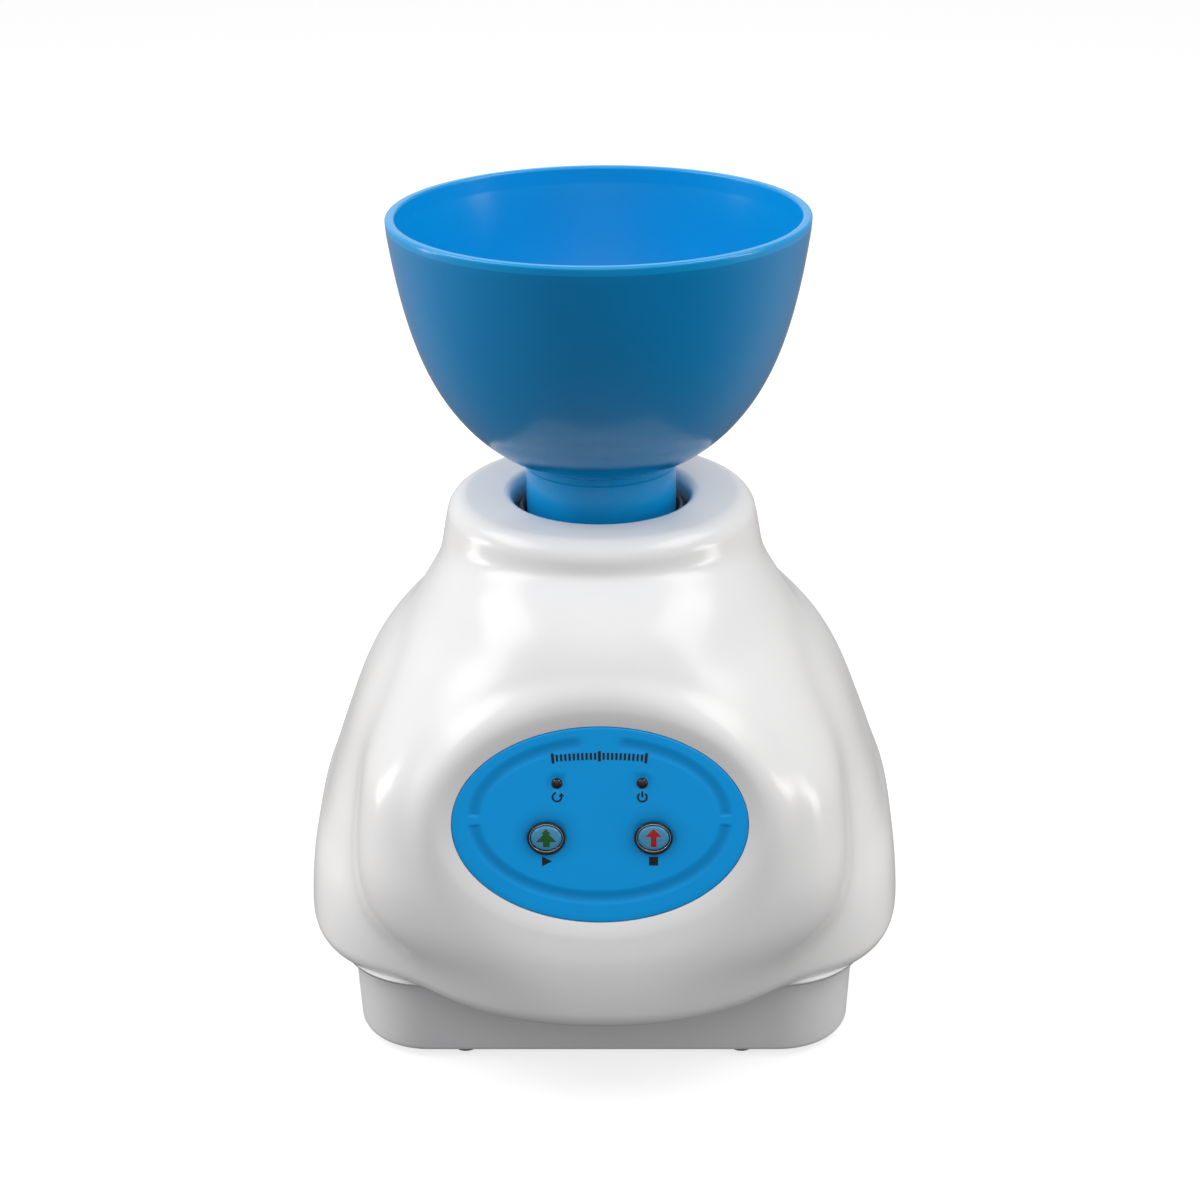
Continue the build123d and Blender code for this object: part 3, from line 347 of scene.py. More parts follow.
def plastic(name, colour, colour2=None, rough=(0.25, 0.32), grain=900.0, depth=0.00001, strength=0.15, coat=0.0, coat_rough=0.1,
            ior=1.49, subsurface=0.0, sub_radius=(1, 1, 1), sub_scale=0.002, blotch=45.0, sheen=0.0):
    """Moulded plastic or rubber: a slight cast in the colour, uneven gloss and a fine moulded grain."""
    m, t, p = nt(name)
    vec = coords(t)
    big = noise(t, vec, blotch, 3.0, 0.55)
    fine = noise(t, vec, grain, 4.0, 0.6)
    c2 = colour2 or tuple(c * 0.93 for c in colour)
    t.links.new(mixed(t, ranged(t, big, 0, 1, 0.35, 0.65), colour, c2), p.inputs["Base Color"])
    t.links.new(ranged(t, big, rough[0], rough[1], 0.3, 0.7), p.inputs["Roughness"])
    p.inputs["IOR"].default_value = ior
    p.inputs["Coat Weight"].default_value = coat
    p.inputs["Coat Roughness"].default_value = coat_rough
    if sheen:
        p.inputs["Sheen Weight"].default_value = sheen
        p.inputs["Sheen Roughness"].default_value = 0.4
    if subsurface:
        p.inputs["Subsurface Weight"].default_value = subsurface
        p.inputs["Subsurface Radius"].default_value = sub_radius
        p.inputs["Subsurface Scale"].default_value = sub_scale
    bump(t, p, fine, strength, depth)
    return m


def metal(name, colour, rough=(0.22, 0.36), stretch=(1, 1, 1), scale=600.0, strength=0.12, depth=0.00002, metallic=1.0, stain=0.9):
    m, t, p = nt(name)
    vec = coords(t, stretch)
    lines = noise(t, vec, scale, 5.0, 0.65)
    cloud = noise(t, coords(t), 70.0, 3.0, 0.6)
    t.links.new(mixed(t, ranged(t, cloud, 0, 1, 0.3, 0.7), colour, tuple(c * stain for c in colour)), p.inputs["Base Color"])
    t.links.new(ranged(t, lines, rough[0], rough[1], 0.3, 0.7), p.inputs["Roughness"])
    p.inputs["Metallic"].default_value = metallic
    bump(t, p, lines, strength, depth)
    return m


MAT = {
    "white": plastic("shell_white", (0.86, 0.86, 0.855), (0.845, 0.845, 0.845), rough=(0.20, 0.24), grain=700, depth=0.000008, strength=0.10, ior=1.46),
    "base": plastic("base_white", (0.80, 0.80, 0.80), (0.78, 0.78, 0.785), rough=(0.34, 0.40), grain=900, depth=0.00001, strength=0.16, ior=1.46),
    # two copies of the one blue rubber: the darker is painted shade for the bowl's outside, the paler is painted light
    # for its inside, lip and foot
    "bowl": plastic("bowl_blue", (0.001, 0.255, 0.600), (0.001, 0.243, 0.575), rough=(0.16, 0.20), grain=500, depth=0.000004, strength=0.05, ior=1.50, blotch=22.0),
    "bowl_painted_lit": plastic("bowl_blue_painted_lit", (0.002, 0.345, 0.770), (0.002, 0.330, 0.740), rough=(0.19, 0.23), grain=500, depth=0.000004, strength=0.05, ior=1.46, blotch=22.0),
    "black": plastic("black_plastic", (0.012, 0.012, 0.013), (0.02, 0.02, 0.021), rough=(0.38, 0.5), grain=1400, depth=0.00003, strength=0.35),
    "gloss_black": plastic("gloss_black", (0.003, 0.003, 0.003), (0.004, 0.004, 0.004), rough=(0.34, 0.42), grain=1400, depth=0.00001, strength=0.1),
    "black_rubber": plastic("black_rubber", (0.016, 0.016, 0.017), (0.03, 0.03, 0.031), rough=(0.55, 0.7), grain=1800, depth=0.00004, strength=0.5),
    "grey_rubber": plastic("grey_rubber", (0.30, 0.30, 0.31), (0.25, 0.25, 0.26), rough=(0.5, 0.65), grain=1500, depth=0.00003, strength=0.4),
    "steel": metal("ground_steel", (0.58, 0.58, 0.60), (0.16, 0.30), (1, 1, 14), 260.0),
    "zinc": metal("zinc_steel", (0.60, 0.61, 0.64), (0.28, 0.45), (1, 1, 1), 500.0, stain=0.8),
    "alu": metal("turned_aluminium", (0.72, 0.73, 0.74), (0.24, 0.38), (1, 1, 12), 300.0),
    "brass": metal("plain_brass", (0.78, 0.57, 0.26), (0.2, 0.32), (1, 1, 6), 300.0),
    "silver": metal("bright_rim", (0.86, 0.87, 0.88), (0.10, 0.18), (1, 1, 1), 500.0, strength=0.05),
    "ferrite": plastic("ferrite", (0.05, 0.05, 0.055), (0.08, 0.08, 0.085), rough=(0.5, 0.7), grain=1600, depth=0.00005, strength=0.5),
}

# ---------------------------------------------------------------------------
# Outer form of the shell: half widths and depths at each height, smoothed
# ---------------------------------------------------------------------------
FORM = {
    "a": ([29, 36, 44, 54, 63, 73, 82, 91, 100, 109, 117, 125, 133, 141, 150, 163],
          [98.6, 98.8, 98.3, 97.0, 93.6, 90.4, 87.2, 84.1, 80.5, 75.8, 70.2, 63.2, 56.2, 50.0, 40.0, 26.0]),
    "bf": ([29, 44, 62, 90, 105, 118, 130, 142, 163], [82.0, 81.2, 78, 71.5, 67, 59.5, 49, 38, 26]),
    "br": ([29, 35, 50, 70, 90, 105, 118, 128, 138, 146, 155, 163],
           [101.4, 101.4, 99.6, 95.2, 89.2, 83.6, 77.0, 70.5, 62.0, 53.0, 43, 34]),
    "F": ([29, 36, 45, 55, 64, 70, 80, 90, 100, 110, 120, 130, 140, 146, 151, 155, 158, 161, 163],
          [101.4, 101.4, 100.6, 98.6, 96.3, 94.7, 92.0, 89.4, 86.7, 83.9, 80.9, 77.2, 71.8, 67.0, 61.5, 55.5, 49.5, 42.5, 38]),
    "an": ([29, 60, 95, 120, 140, 155, 163], [83.5, 80.5, 76, 66, 56, 47, 40]),
    "nf": ([29, 40, 60, 110, 163], [3.8, 3.7, 3.4, 2.6, 2.2]),
    "nr": ([29, 60, 110, 140, 163], [3.4, 3.2, 2.7, 2.3, 2.1]),
    "nn": ([29, 45, 62, 75, 95, 112, 125, 138, 163], [2.15, 2.7, 4.4, 5.2, 5.2, 4.2, 3.1, 2.35, 2.1]),
    "rn": ([29, 100, 140, 150, 157, 163, 168], [60, 60, 52.2, 51.6, 50.6, 49.2, 48.4]),
}
SHEAR = 0.0005
Z0, LOW, TOP, TOPF = 29.0, 7.0, 168.0, 6.0
WELL_R, WELL_FLOOR = 28.3, 140.0


def pch(xs, ys, x):
    xs, ys, x = np.asarray(xs, float), np.asarray(ys, float), np.asarray(x, float)
    h, d = np.diff(xs), np.diff(ys) / np.diff(xs)
    m = np.zeros(len(xs))
    w1, w2 = 2 * h[1:] + h[:-1], h[1:] + 2 * h[:-1]
    ok = d[:-1] * d[1:] > 0
    m[1:-1][ok] = (w1[ok] + w2[ok]) / (w1[ok] / d[:-1][ok] + w2[ok] / d[1:][ok])
    m[0], m[-1] = d[0], d[-1]
    i = np.clip(np.searchsorted(xs, x, side="right") - 1, 0, len(xs) - 2)
    t = np.clip((x - xs[i]) / h[i], 0, 1)
    return (2 * t**3 - 3 * t**2 + 1) * ys[i] + (t**3 - 2 * t**2 + t) * h[i] * m[i] + (3 * t**2 - 2 * t**3) * ys[i + 1] + (t**3 - t**2) * h[i] * m[i + 1]


ZT = np.arange(0.0, 190.01, 0.5)
kern = np.exp(-0.5 * (np.arange(-30, 31) * 0.5 / 3.5) ** 2)
kern /= kern.sum()
TAB = {}
for key, (xs, ys) in FORM.items():
    raw = pch(xs, ys, np.clip(ZT, xs[0], xs[-1]))
    TAB[key] = np.convolve(np.pad(raw, 30, mode="edge"), kern, mode="valid")


def smax(a, b, k):
    h = np.maximum(k - np.abs(a - b), 0.0) / k
    return np.maximum(a, b) + h * h * h * k / 6


def form_r(z, th):
    z, th = np.broadcast_arrays(np.asarray(z, float), np.asarray(th, float))
    zc = np.minimum(z, 163.0)
    g = {k: np.interp(zc, ZT, t) for k, t in TAB.items()}
    s, c = np.abs(np.sin(th)), np.cos(th)
    front = c >= 0
    ac = np.maximum(np.abs(c), 1e-9)
    s = np.maximum(s, 1e-9)
    n = np.where(front, g["nf"], g["nr"])
    b = np.where(front, g["bf"], g["br"])
    wide = ((s / g["a"]) ** n + (ac / b) ** n) ** (-1 / n)
    wide = wide * (1 - SHEAR * wide * c * s * s)
    nn = np.where(front, g["nn"], 2.2)
    depth = np.where(front, g["F"], 0.8 * g["an"])
    nose = ((s / g["an"]) ** nn + (ac / depth) ** nn) ** (-1 / nn)
    r = smax(wide, nose, 10.0)
    r = smax(r, np.interp(z, ZT, TAB["rn"]), 4.5)
    u = np.clip(LOW - (z - Z0), 0, LOW)
    r = r - (LOW - np.sqrt(np.maximum(LOW**2 - u * u, 0)))
    u = np.clip(z - (TOP - TOPF), 0, TOPF)
    return r - (TOPF - np.sqrt(np.maximum(TOPF**2 - u * u, 0)))


def rect_sdf(x, y, w, h, r, cx=0.0, cy=0.0):
    qx, qy = np.abs(x - cx) - (w / 2 - r), np.abs(y - cy) - (h / 2 - r)
    return np.hypot(np.maximum(qx, 0), np.maximum(qy, 0)) + np.minimum(np.maximum(qx, qy), 0) - r


def solve(fn, lo, hi, n=46):
    """Where fn, which rises, crosses nought, for arrays of brackets."""
    lo, hi = np.array(lo, float), np.array(hi, float)
    for _ in range(n):
        mid = (lo + hi) / 2
        up = fn(mid) > 0
        hi = np.where(up, mid, hi)
        lo = np.where(up, lo, mid)
    return (lo + hi) / 2


# panel frame: u to the right, v up the panel, w out of it
TILT = math.radians(15)
PC = np.array([0, -86.7, 93.6])
EU, EV, EW = np.array([1.0, 0, 0]), np.array([0, math.sin(TILT), math.cos(TILT)]), np.array([0, -math.cos(TILT), math.sin(TILT)])
PA, PB = 44.3, 29.9


def on_panel(u, v, w):
    u, v, w = np.broadcast_arrays(np.asarray(u, float), np.asarray(v, float), np.asarray(w, float))
    return PC + u[..., None] * EU + v[..., None] * EV + w[..., None] * EW


def natural_w(u, v):
    """Height of the shell's own form above the panel's plane."""
    def f(w):
        p = on_panel(u, v, w)
        return np.hypot(p[..., 0], p[..., 1]) - form_r(p[..., 2], np.arctan2(p[..., 0], -p[..., 1]))
    return solve(f, np.full(np.shape(u), -50.0), np.full(np.shape(u), 30.0))


def smooth5(x):
    x = np.clip(x, 0, 1)
    return x**3 * (x * (6 * x - 15) + 10)


# ---------------------------------------------------------------------------
# Upper shell
# ---------------------------------------------------------------------------
NC = 540
stitched = set()
col = (np.arange(NC) + 0.5) * 2 * np.pi / NC
b = Builder()
mouth_r = solve(lambda r: rect_sdf(r * np.sin(col), -r * np.cos(col), 163.0, 154.8, 25.5, 0, 3.5), np.full(NC, 20.0), np.full(NC, 140.0))
rows = []


def row(r, z):
    r = np.broadcast_to(r, (NC,))
    z = np.broadcast_to(z, (NC,))
    rows.append(np.stack([r * np.sin(col), -r * np.cos(col), z], -1))


row(mouth_r, 31.4)
row(mouth_r, 29.6)
row(mouth_r + 0.18, 29.18)
row(mouth_r + 0.6, 29.0)


def low_r(z):
    """The form near its lower edge, kept just outside the mouth."""
    return smax(form_r(z, col), mouth_r + 1.4, 1.6)


edge = low_r(29.0)
for t in np.linspace(0, 1, 10)[1:]:
    row(mouth_r + 0.6 + t * (edge - mouth_r - 0.6), 29.0)
first_outer = len(rows)
for a in np.radians(np.arange(8, 91, 8.2)):
    z = Z0 + LOW * (1 - math.cos(a))
    row(low_r(z), z)
zs = np.linspace(Z0 + LOW, TOP - TOPF, 118)
for z in zs[1:]:
    row(form_r(z, col), z)
for a in np.radians(np.arange(6, 90, 7)):
    z = TOP - TOPF + TOPF * math.sin(a)
    row(form_r(z, col), z)
last_outer = len(rows)
top_r = form_r(TOP, col)
WF = 3.4
for t in np.linspace(0, 1, 7):
    row(top_r + t * (WELL_R + WF - top_r), TOP)
for a in np.radians(np.arange(9, 91, 9)):
    row(WELL_R + WF * (1 - math.sin(a)), TOP - WF * (1 - math.cos(a)))
for z in np.linspace(TOP - WF, WELL_FLOOR + 1.5, 12)[1:]:
    row(WELL_R, z)
for a in np.radians((30, 60, 90)):
    row(WELL_R - 1.5 * (1 - math.cos(a)), WELL_FLOOR + 1.5 * (1 - math.sin(a)))
for r in (22, 17, 12.5):
    row(r, WELL_FLOOR)

grid = np.array(rows)
ids = b.add_verts(grid).reshape(grid.shape[:2])
NR = len(rows)


def cut_and_stitch(ring3, ring_ids, cut, xs_of):
    """Opens the grid where cut says, and joins the opening to the ring with triangles."""
    ring2 = xs_of(ring3)
    g2 = xs_of(grid.reshape(-1, 3)).reshape(NR, NC, 2)
    gone = np.zeros((NR - 1, NC), bool)
    cj = np.roll(cut, -1, 1)
    gone |= cut[:-1] | cut[1:] | cj[:-1] | cj[1:]
    nxt = {}
    for i, j in zip(*np.nonzero(gone)):
        j2 = (j + 1) % NC
        if not gone[i - 1, j]:
            nxt[(i, j)] = (i, j2)
        if not gone[i, j2]:
            nxt[(i, j2)] = (i + 1, j2)
        if not gone[i + 1, j]:
            nxt[(i + 1, j2)] = (i + 1, j)
        if not gone[i, (j - 1) % NC]:
            nxt[(i + 1, j)] = (i, j)
    start = next(iter(nxt))
    chain, at = [start], nxt[start]
    while at != start:
        chain.append(at)
        at = nxt[at]
    outer2 = np.array([g2[i, j] for i, j in chain])
    outer_ids = [int(ids[i, j]) for i, j in chain]
    both = outer_ids + [int(k) for k in ring_ids]
    # bent inwards a little, so that three grid points on one diagonal make no thin triangle
    mid2 = ring2.mean(0)

    def bent(q):
        d = q - mid2
        return d * (np.linalg.norm(d, axis=1)[:, None] / 40.0) ** 0.35

    tri = fill([bent(outer2), bent(ring2)])
    b.faces([[both[k] for k in t] for t in tri])
    stitched.update(both)
    return gone


# --- the dish round the panel -----------------------------------------------
NP = 360
SEAT_W, GAP, LIP_H, DISH, SPAN = -1.8, 0.14, 1.0, 5.4, 17.0
base_ring = ellipse(PA, PB, NP)
base_nrm = ellipse(PA, PB, NP, offset=1.0) - base_ring
ds = np.concatenate([[0.36, 0.55, 0.8, 1.05, 1.35, 1.7, 2.1, 2.5, 2.9, 3.3, 3.7, 4.1, 4.6, 5.1, 5.7, 6.3], np.linspace(7.0, SPAN, 13)])
uv = base_ring[None] + ds[:, None, None] * base_nrm[None]
wn = natural_w(uv[..., 0], uv[..., 1])
blend_s = smooth5((ds - 3.0) / (SPAN - 3.0))[:, None]
body_w = (1 - blend_s) * LIP_H + blend_s * wn
x = np.clip((ds - 0.36) / (DISH - 0.36), 0, 1)
dish = (1 - x) ** 1.3
soft = np.exp(-((ds - DISH) / 1.5) ** 2) * 0.05
w_ring = body_w - (LIP_H + 0.05) * dish[:, None] - soft[:, None]
patch = [on_panel(base_ring[:, 0] + GAP * base_nrm[:, 0], base_ring[:, 1] + GAP * base_nrm[:, 1], SEAT_W)]
for a in (0, 30, 60):
    a = math.radians(a)
    q = base_ring + (GAP + 0.22 * (1 - math.cos(a))) * base_nrm
    patch.append(on_panel(q[:, 0], q[:, 1], w_ring[0] - 0.22 + 0.22 * math.sin(a)))
for k in range(len(ds)):
    patch.append(on_panel(uv[k, :, 0], uv[k, :, 1], w_ring[k]))
pid = [b.add_verts(p) for p in patch]
b.loops(pid, flip=True)

rel = grid - PC
gu, gv, gw = rel @ EU, rel @ EV, rel @ EW
outer_uv = base_ring + (SPAN + 1.5) * base_nrm
cut_front = inside(outer_uv, np.stack([gu.ravel(), gv.ravel()], -1)).reshape(gu.shape)
cut_front &= (grid[..., 1] < -10) & (np.arange(NR)[:, None] >= first_outer) & (np.arange(NR)[:, None] < last_outer)


def flat_front(p):
    p = np.asarray(p)
    return np.stack([np.arctan2(p[..., 0], -p[..., 1]) * 85.0, p[..., 2]], -1)


gone_f = cut_and_stitch(patch[-1], pid[-1], cut_front, flat_front)

# floor of the seat, with the holes behind the keys and the lamps
seat = base_ring + GAP * base_nrm
BU, BV, LU, LV = 16.0, -3.7, 12.7, 12.8
holes = [ellipse(6.5, 5.6, 48, sx * BU, BV) for sx in (-1, 1)] + [ellipse(2.4, 2.4, 24, sx * LU, LV) for sx in (-1, 1)]
hid = [b.add_verts(on_panel(h[:, 0], h[:, 1], SEAT_W)) for h in holes]
order = list(map(int, pid[0])) + [int(k) for h in hid for k in h]
b.faces([[order[k] for k in t] for t in fill([seat] + holes)])

# --- the recess at the back ---------------------------------------------------
REAR_Y, REAR_Z = 91.0, 50.0
rect = rounded_rect(88, 34, 6, 10, (50, 14), 0, REAR_Z)
rect_n = normals2(rect)


def natural_y(x, z):
    return solve(lambda y: np.hypot(x, y) - form_r(z, np.arctan2(x, -y)), np.full(np.shape(x), 60.0), np.full(np.shape(x), 130.0))


back_rows = []
for d, drop in [(2.7, 0.0), (2.1, 0.0), (1.6, 0.0)] + [(1.5 * (1 - math.sin(math.radians(a))), 1.5 * (1 - math.cos(math.radians(a)))) for a in (15, 30, 45, 60, 75, 90)]:
    q = rect + d * rect_n
    back_rows.append(np.stack([q[:, 0], natural_y(q[:, 0], q[:, 1]) - drop, q[:, 1]], -1))
top_y = back_rows[-1][:, 1]
for t in (0.3, 0.6, 1.0):
    q = rect - 0.45 * t * rect_n
    back_rows.append(np.stack([q[:, 0], top_y + t * (REAR_Y + 1.3 - top_y), q[:, 1]], -1))
for a in (22.5, 45, 67.5, 90):
    a = math.radians(a)
    q = rect - (0.45 + 1.3 * (1 - math.cos(a))) * rect_n
    back_rows.append(np.stack([q[:, 0], np.full(len(q), REAR_Y + 1.3 * (1 - math.sin(a))), q[:, 1]], -1))
rid = [b.add_verts(p) for p in back_rows]
b.loops(rid, flip=True)
rear_uv = rect + 3.4 * rect_n
cut_back = inside(rear_uv, np.stack([grid[..., 0].ravel(), grid[..., 2].ravel()], -1)).reshape(gu.shape)
cut_back &= (grid[..., 1] > 60) & (np.arange(NR)[:, None] >= first_outer) & (np.arange(NR)[:, None] < last_outer)


def flat_back(p):
    p = np.asarray(p)
    return np.stack([(np.arctan2(p[..., 0], -p[..., 1]) % (2 * np.pi)) * 100.0, p[..., 2]], -1)


gone_b = cut_and_stitch(back_rows[0], rid[0], cut_back, flat_back)
IX, SX = 16.0, -24.0
floor2 = back_rows[-1][:, [0, 2]]
rholes = [rounded_rect(28.6, 25.6, 1.6, 4, (8, 8), IX, REAR_Z), rounded_rect(13.4, 20.4, 0.8, 3, (6, 4), SX, REAR_Z)]
rhid = [b.add_verts(np.stack([h[:, 0], np.full(len(h), REAR_Y), h[:, 1]], -1)) for h in rholes]
order = list(map(int, rid[-1])) + [int(k) for h in rhid for k in h]
b.faces([[order[k] for k in t][::-1] for t in fill([floor2] + rholes)])

# --- the rest of the skin -------------------------------------------------------
gone = gone_f | gone_b
ii, jj = np.nonzero(~gone)
j2 = (jj + 1) % NC
b.quads(ids[ii, jj], ids[ii, j2], ids[ii + 1, j2], ids[ii + 1, jj])
shell = b.object("shell_skin", [MAT["white"]], "housing", sharp=50, slot="white_abs", replaces=["upper_shell"])
import bmesh

bm = bmesh.new()
bm.from_mesh(shell.data)
loose = [v for v in bm.verts if not v.link_faces]
bmesh.ops.delete(bm, geom=loose, context="VERTS")
bm.to_mesh(shell.data)
bm.free()
modified(shell, ("SOLIDIFY", {"thickness": 2.8 * MM, "offset": -1.0, "use_rim": True, "use_even_offset": False}),
         ("WEIGHTED_NORMAL", {"mode": "FACE_AREA", "keep_sharp": True, "weight": 50}))


# ---------------------------------------------------------------------------
# More materials
# ---------------------------------------------------------------------------
def math_node(t, op, a, b=None, c=None):
    n = t.nodes.new("ShaderNodeMath")
    n.operation = op
    for k, v in enumerate((a, b, c)):
        if v is None:
            continue
        if hasattr(v, "is_linked"):
            t.links.new(v, n.inputs[k])
        else:
            n.inputs[k].default_value = v
    return n.outputs[0]


def panel_material():
    """Blue overlay with painted shade in the pressed groove and round the keys, and a painted highlight at the lamp
    hole edges.
    """
    m, t, p = nt("panel_blue")
    pos = t.nodes.new("ShaderNodeTexCoord").outputs["Object"]
    dots = []
    for axis in (EU, EV):
        d = t.nodes.new("ShaderNodeVectorMath")
        d.operation = "DOT_PRODUCT"
        t.links.new(pos, d.inputs[0])
        d.inputs[1].default_value = tuple(axis * 1000)
        off = float(PC @ axis)
        dots.append(math_node(t, "SUBTRACT", d.outputs["Value"], off))
    u, v = dots

    def halo(cu, cv, ea, eb, k0, k1):
        """Nought beyond k1 times the ellipse, one inside k0 times."""
        x = math_node(t, "DIVIDE", math_node(t, "SUBTRACT", u, cu), ea)
        y = math_node(t, "DIVIDE", math_node(t, "SUBTRACT", v, cv), eb)
        r = math_node(t, "SQRT", math_node(t, "ADD", math_node(t, "MULTIPLY", x, x), math_node(t, "MULTIPLY", y, y)))
        return ranged(t, r, 1.0, 0.0, k0, k1)

    # painted shade: the blue darkens round each key, as if the key cast a shadow
    key = math_node(t, "MAXIMUM", halo(-BU, BV + 0.9, 6.0, 5.2, 0.95, 1.95), halo(BU, BV + 0.9, 6.0, 5.2, 0.95, 1.95))
    key = math_node(t, "MULTIPLY", math_node(t, "MULTIPLY", key, key), 0.62)
    # painted highlight: a paler blue ring round each lamp hole
    lamp_rim_highlight = math_node(t, "MAXIMUM", halo(-LU, LV, 1.6, 1.6, 1.22, 1.36), halo(LU, LV, 1.6, 1.6, 1.22, 1.36))
    lamp_rim_highlight = math_node(t, "MULTIPLY", lamp_rim_highlight, 0.35)
    att = t.nodes.new("ShaderNodeAttribute")
    att.attribute_name = "groove"
    vec = coords(t)
    cloud = noise(t, vec, 30.0, 3.0, 0.5)
    fine = noise(t, vec, 1500.0, 3.0, 0.6)
    c = mixed(t, ranged(t, cloud, 0, 1, 0.35, 0.65), PANEL_A, PANEL_B)
    # painted shade: the blue darkens along the groove, following its depth
    c = mixed(t, math_node(t, "MULTIPLY", att.outputs["Fac"], 0.62), c, PANEL_SHADE)
    c = mixed(t, key, c, PANEL_SHADE)
    c = mixed(t, lamp_rim_highlight, c, (0.10, 0.42, 0.75))
    t.links.new(c, p.inputs["Base Color"])
    t.links.new(ranged(t, cloud, 0.42, 0.50, 0.3, 0.7), p.inputs["Roughness"])
    p.inputs["IOR"].default_value = 1.42
    p.inputs["Specular IOR Level"].default_value = 0.30
    bump(t, p, fine, 0.12, 0.00001)
    return m


# the third colour is the darker blue that is painted as shade in the groove and round the keys
PANEL_A, PANEL_B, PANEL_SHADE = (0.001, 0.385, 0.920), (0.001, 0.368, 0.885), (0.001, 0.215, 0.55)


def printed(name, colour, rough=0.55):
    return plastic(name, colour, tuple(c * 0.85 + 0.004 for c in colour), rough=(rough - 0.06, rough + 0.06), grain=2200, depth=0.00001, strength=0.25)


def key_cap():
    m, t, p = nt("key_cap_blue")
    vec = coords(t)
    cloud = noise(t, vec, 260.0, 2.0, 0.5)
    t.links.new(mixed(t, ranged(t, cloud, 0, 1, 0.3, 0.7), (0.062, 0.300, 0.520), (0.055, 0.275, 0.485)), p.inputs["Base Color"])
    t.links.new(ranged(t, cloud, 0.14, 0.22, 0.3, 0.7), p.inputs["Roughness"])
    p.inputs["IOR"].default_value = 1.49
    p.inputs["Coat Weight"].default_value = 0.35
    p.inputs["Coat Roughness"].default_value = 0.06
    bump(t, p, noise(t, vec, 1200.0, 2.0, 0.5), 0.06, 0.00001)
    return m


def board_material():
    m, t, p = nt("board_green")
    vec = coords(t)
    w = t.nodes.new("ShaderNodeTexWave")
    w.inputs["Scale"].default_value = 180.0
    w.inputs["Distortion"].default_value = 6.0
    w.inputs["Detail"].default_value = 1.0
    t.links.new(vec, w.inputs["Vector"])
    track = ranged(t, w.outputs["Fac"], 0, 1, 0.46, 0.52)
    t.links.new(mixed(t, track, (0.010, 0.110, 0.040), (0.016, 0.170, 0.060)), p.inputs["Base Color"])
    t.links.new(ranged(t, track, 0.30, 0.42, 0, 1), p.inputs["Roughness"])
    bump(t, p, track, 0.2, 0.00002)
    return m


def winding(name, a, b, scale):
    m, t, p = nt(name)
    w = t.nodes.new("ShaderNodeTexWave")
    w.bands_direction = "Z"
    w.inputs["Scale"].default_value = scale
    w.inputs["Distortion"].default_value = 0.4
    t.links.new(coords(t), w.inputs["Vector"])
    t.links.new(mixed(t, w.outputs["Fac"], a, b), p.inputs["Base Color"])
    t.links.new(ranged(t, w.outputs["Fac"], 0.28, 0.5, 0, 1), p.inputs["Roughness"])
    p.inputs["Metallic"].default_value = 0.85
    bump(t, p, w.outputs["Fac"], 0.5, 0.0001)
    return m


def glass_material():
    m, t, p = nt("fuse_glass")
    vec = coords(t)
    cloud = noise(t, vec, 200.0, 2.0, 0.5)
    t.links.new(mixed(t, ranged(t, cloud, 0, 1, 0.3, 0.7), (0.86, 0.93, 0.94), (0.80, 0.90, 0.92)), p.inputs["Base Color"])
    t.links.new(ranged(t, cloud, 0.03, 0.08, 0.3, 0.7), p.inputs["Roughness"])
    p.inputs["Transmission Weight"].default_value = 0.85
    p.inputs["IOR"].default_value = 1.5
    return m


MAT["panel"] = panel_material()
MAT["ink"] = printed("ink_black", (0.003, 0.003, 0.004))
MAT["green"] = printed("ink_green", (0.002, 0.105, 0.010), 0.45)
MAT["red"] = printed("ink_red", (0.420, 0.002, 0.004), 0.45)
MAT["white_ink"] = printed("ink_white", (0.72, 0.72, 0.70), 0.5)
MAT["cap"] = key_cap()
MAT["lamp"] = plastic("lamp_lens", (0.004, 0.004, 0.005), (0.010, 0.009, 0.010), rough=(0.12, 0.18), grain=900, depth=0.000005, strength=0.08, coat=0.3, coat_rough=0.05)
MAT["pcb"] = board_material()
MAT["copper"] = winding("copper_wire", (0.62, 0.26, 0.11), (0.38, 0.13, 0.05), 700.0)
MAT["tape"] = plastic("coil_tape", (0.62, 0.47, 0.09), (0.55, 0.40, 0.07), rough=(0.35, 0.5), grain=900, depth=0.00003, strength=0.3)
MAT["glass"] = glass_material()
MAT["core"] = metal("core_laminations", (0.22, 0.22, 0.23), (0.4, 0.6), (1, 60, 1), 120.0, strength=0.4, depth=0.00006, stain=0.7)


# ---------------------------------------------------------------------------
# Lower base: a drafted tray with posts, pillars, air slots and foot holes
# ---------------------------------------------------------------------------
BASE_Z = 2.0


def tray_ring(z, inset=0.0):
    k = (z - BASE_Z) / (34.0 - BASE_Z)
    w, h, r = 159.2 + 2.8 * k, 151.0 + 2.8 * k, 23.5 + 1.5 * k
    return rounded_rect(w - 2 * inset, h - 2 * inset, max(r - inset, 1.0), 18, (44, 40), 0, 3.5)


POSTS = [(-66, -48), (66, -48), (-66, 44), (66, 44)]
PILLARS = [(-57, 63), (57, 63), (-52, -38), (52, -38)]
FEET = [(-44.5, -65.0), (44.5, -65.0), (-44.5, 70.0), (44.5, 70.0)]

b = Builder()
rings = []


def put(ring2, z):
    return b.add_verts(np.column_stack([ring2, np.full(len(ring2), z)]))


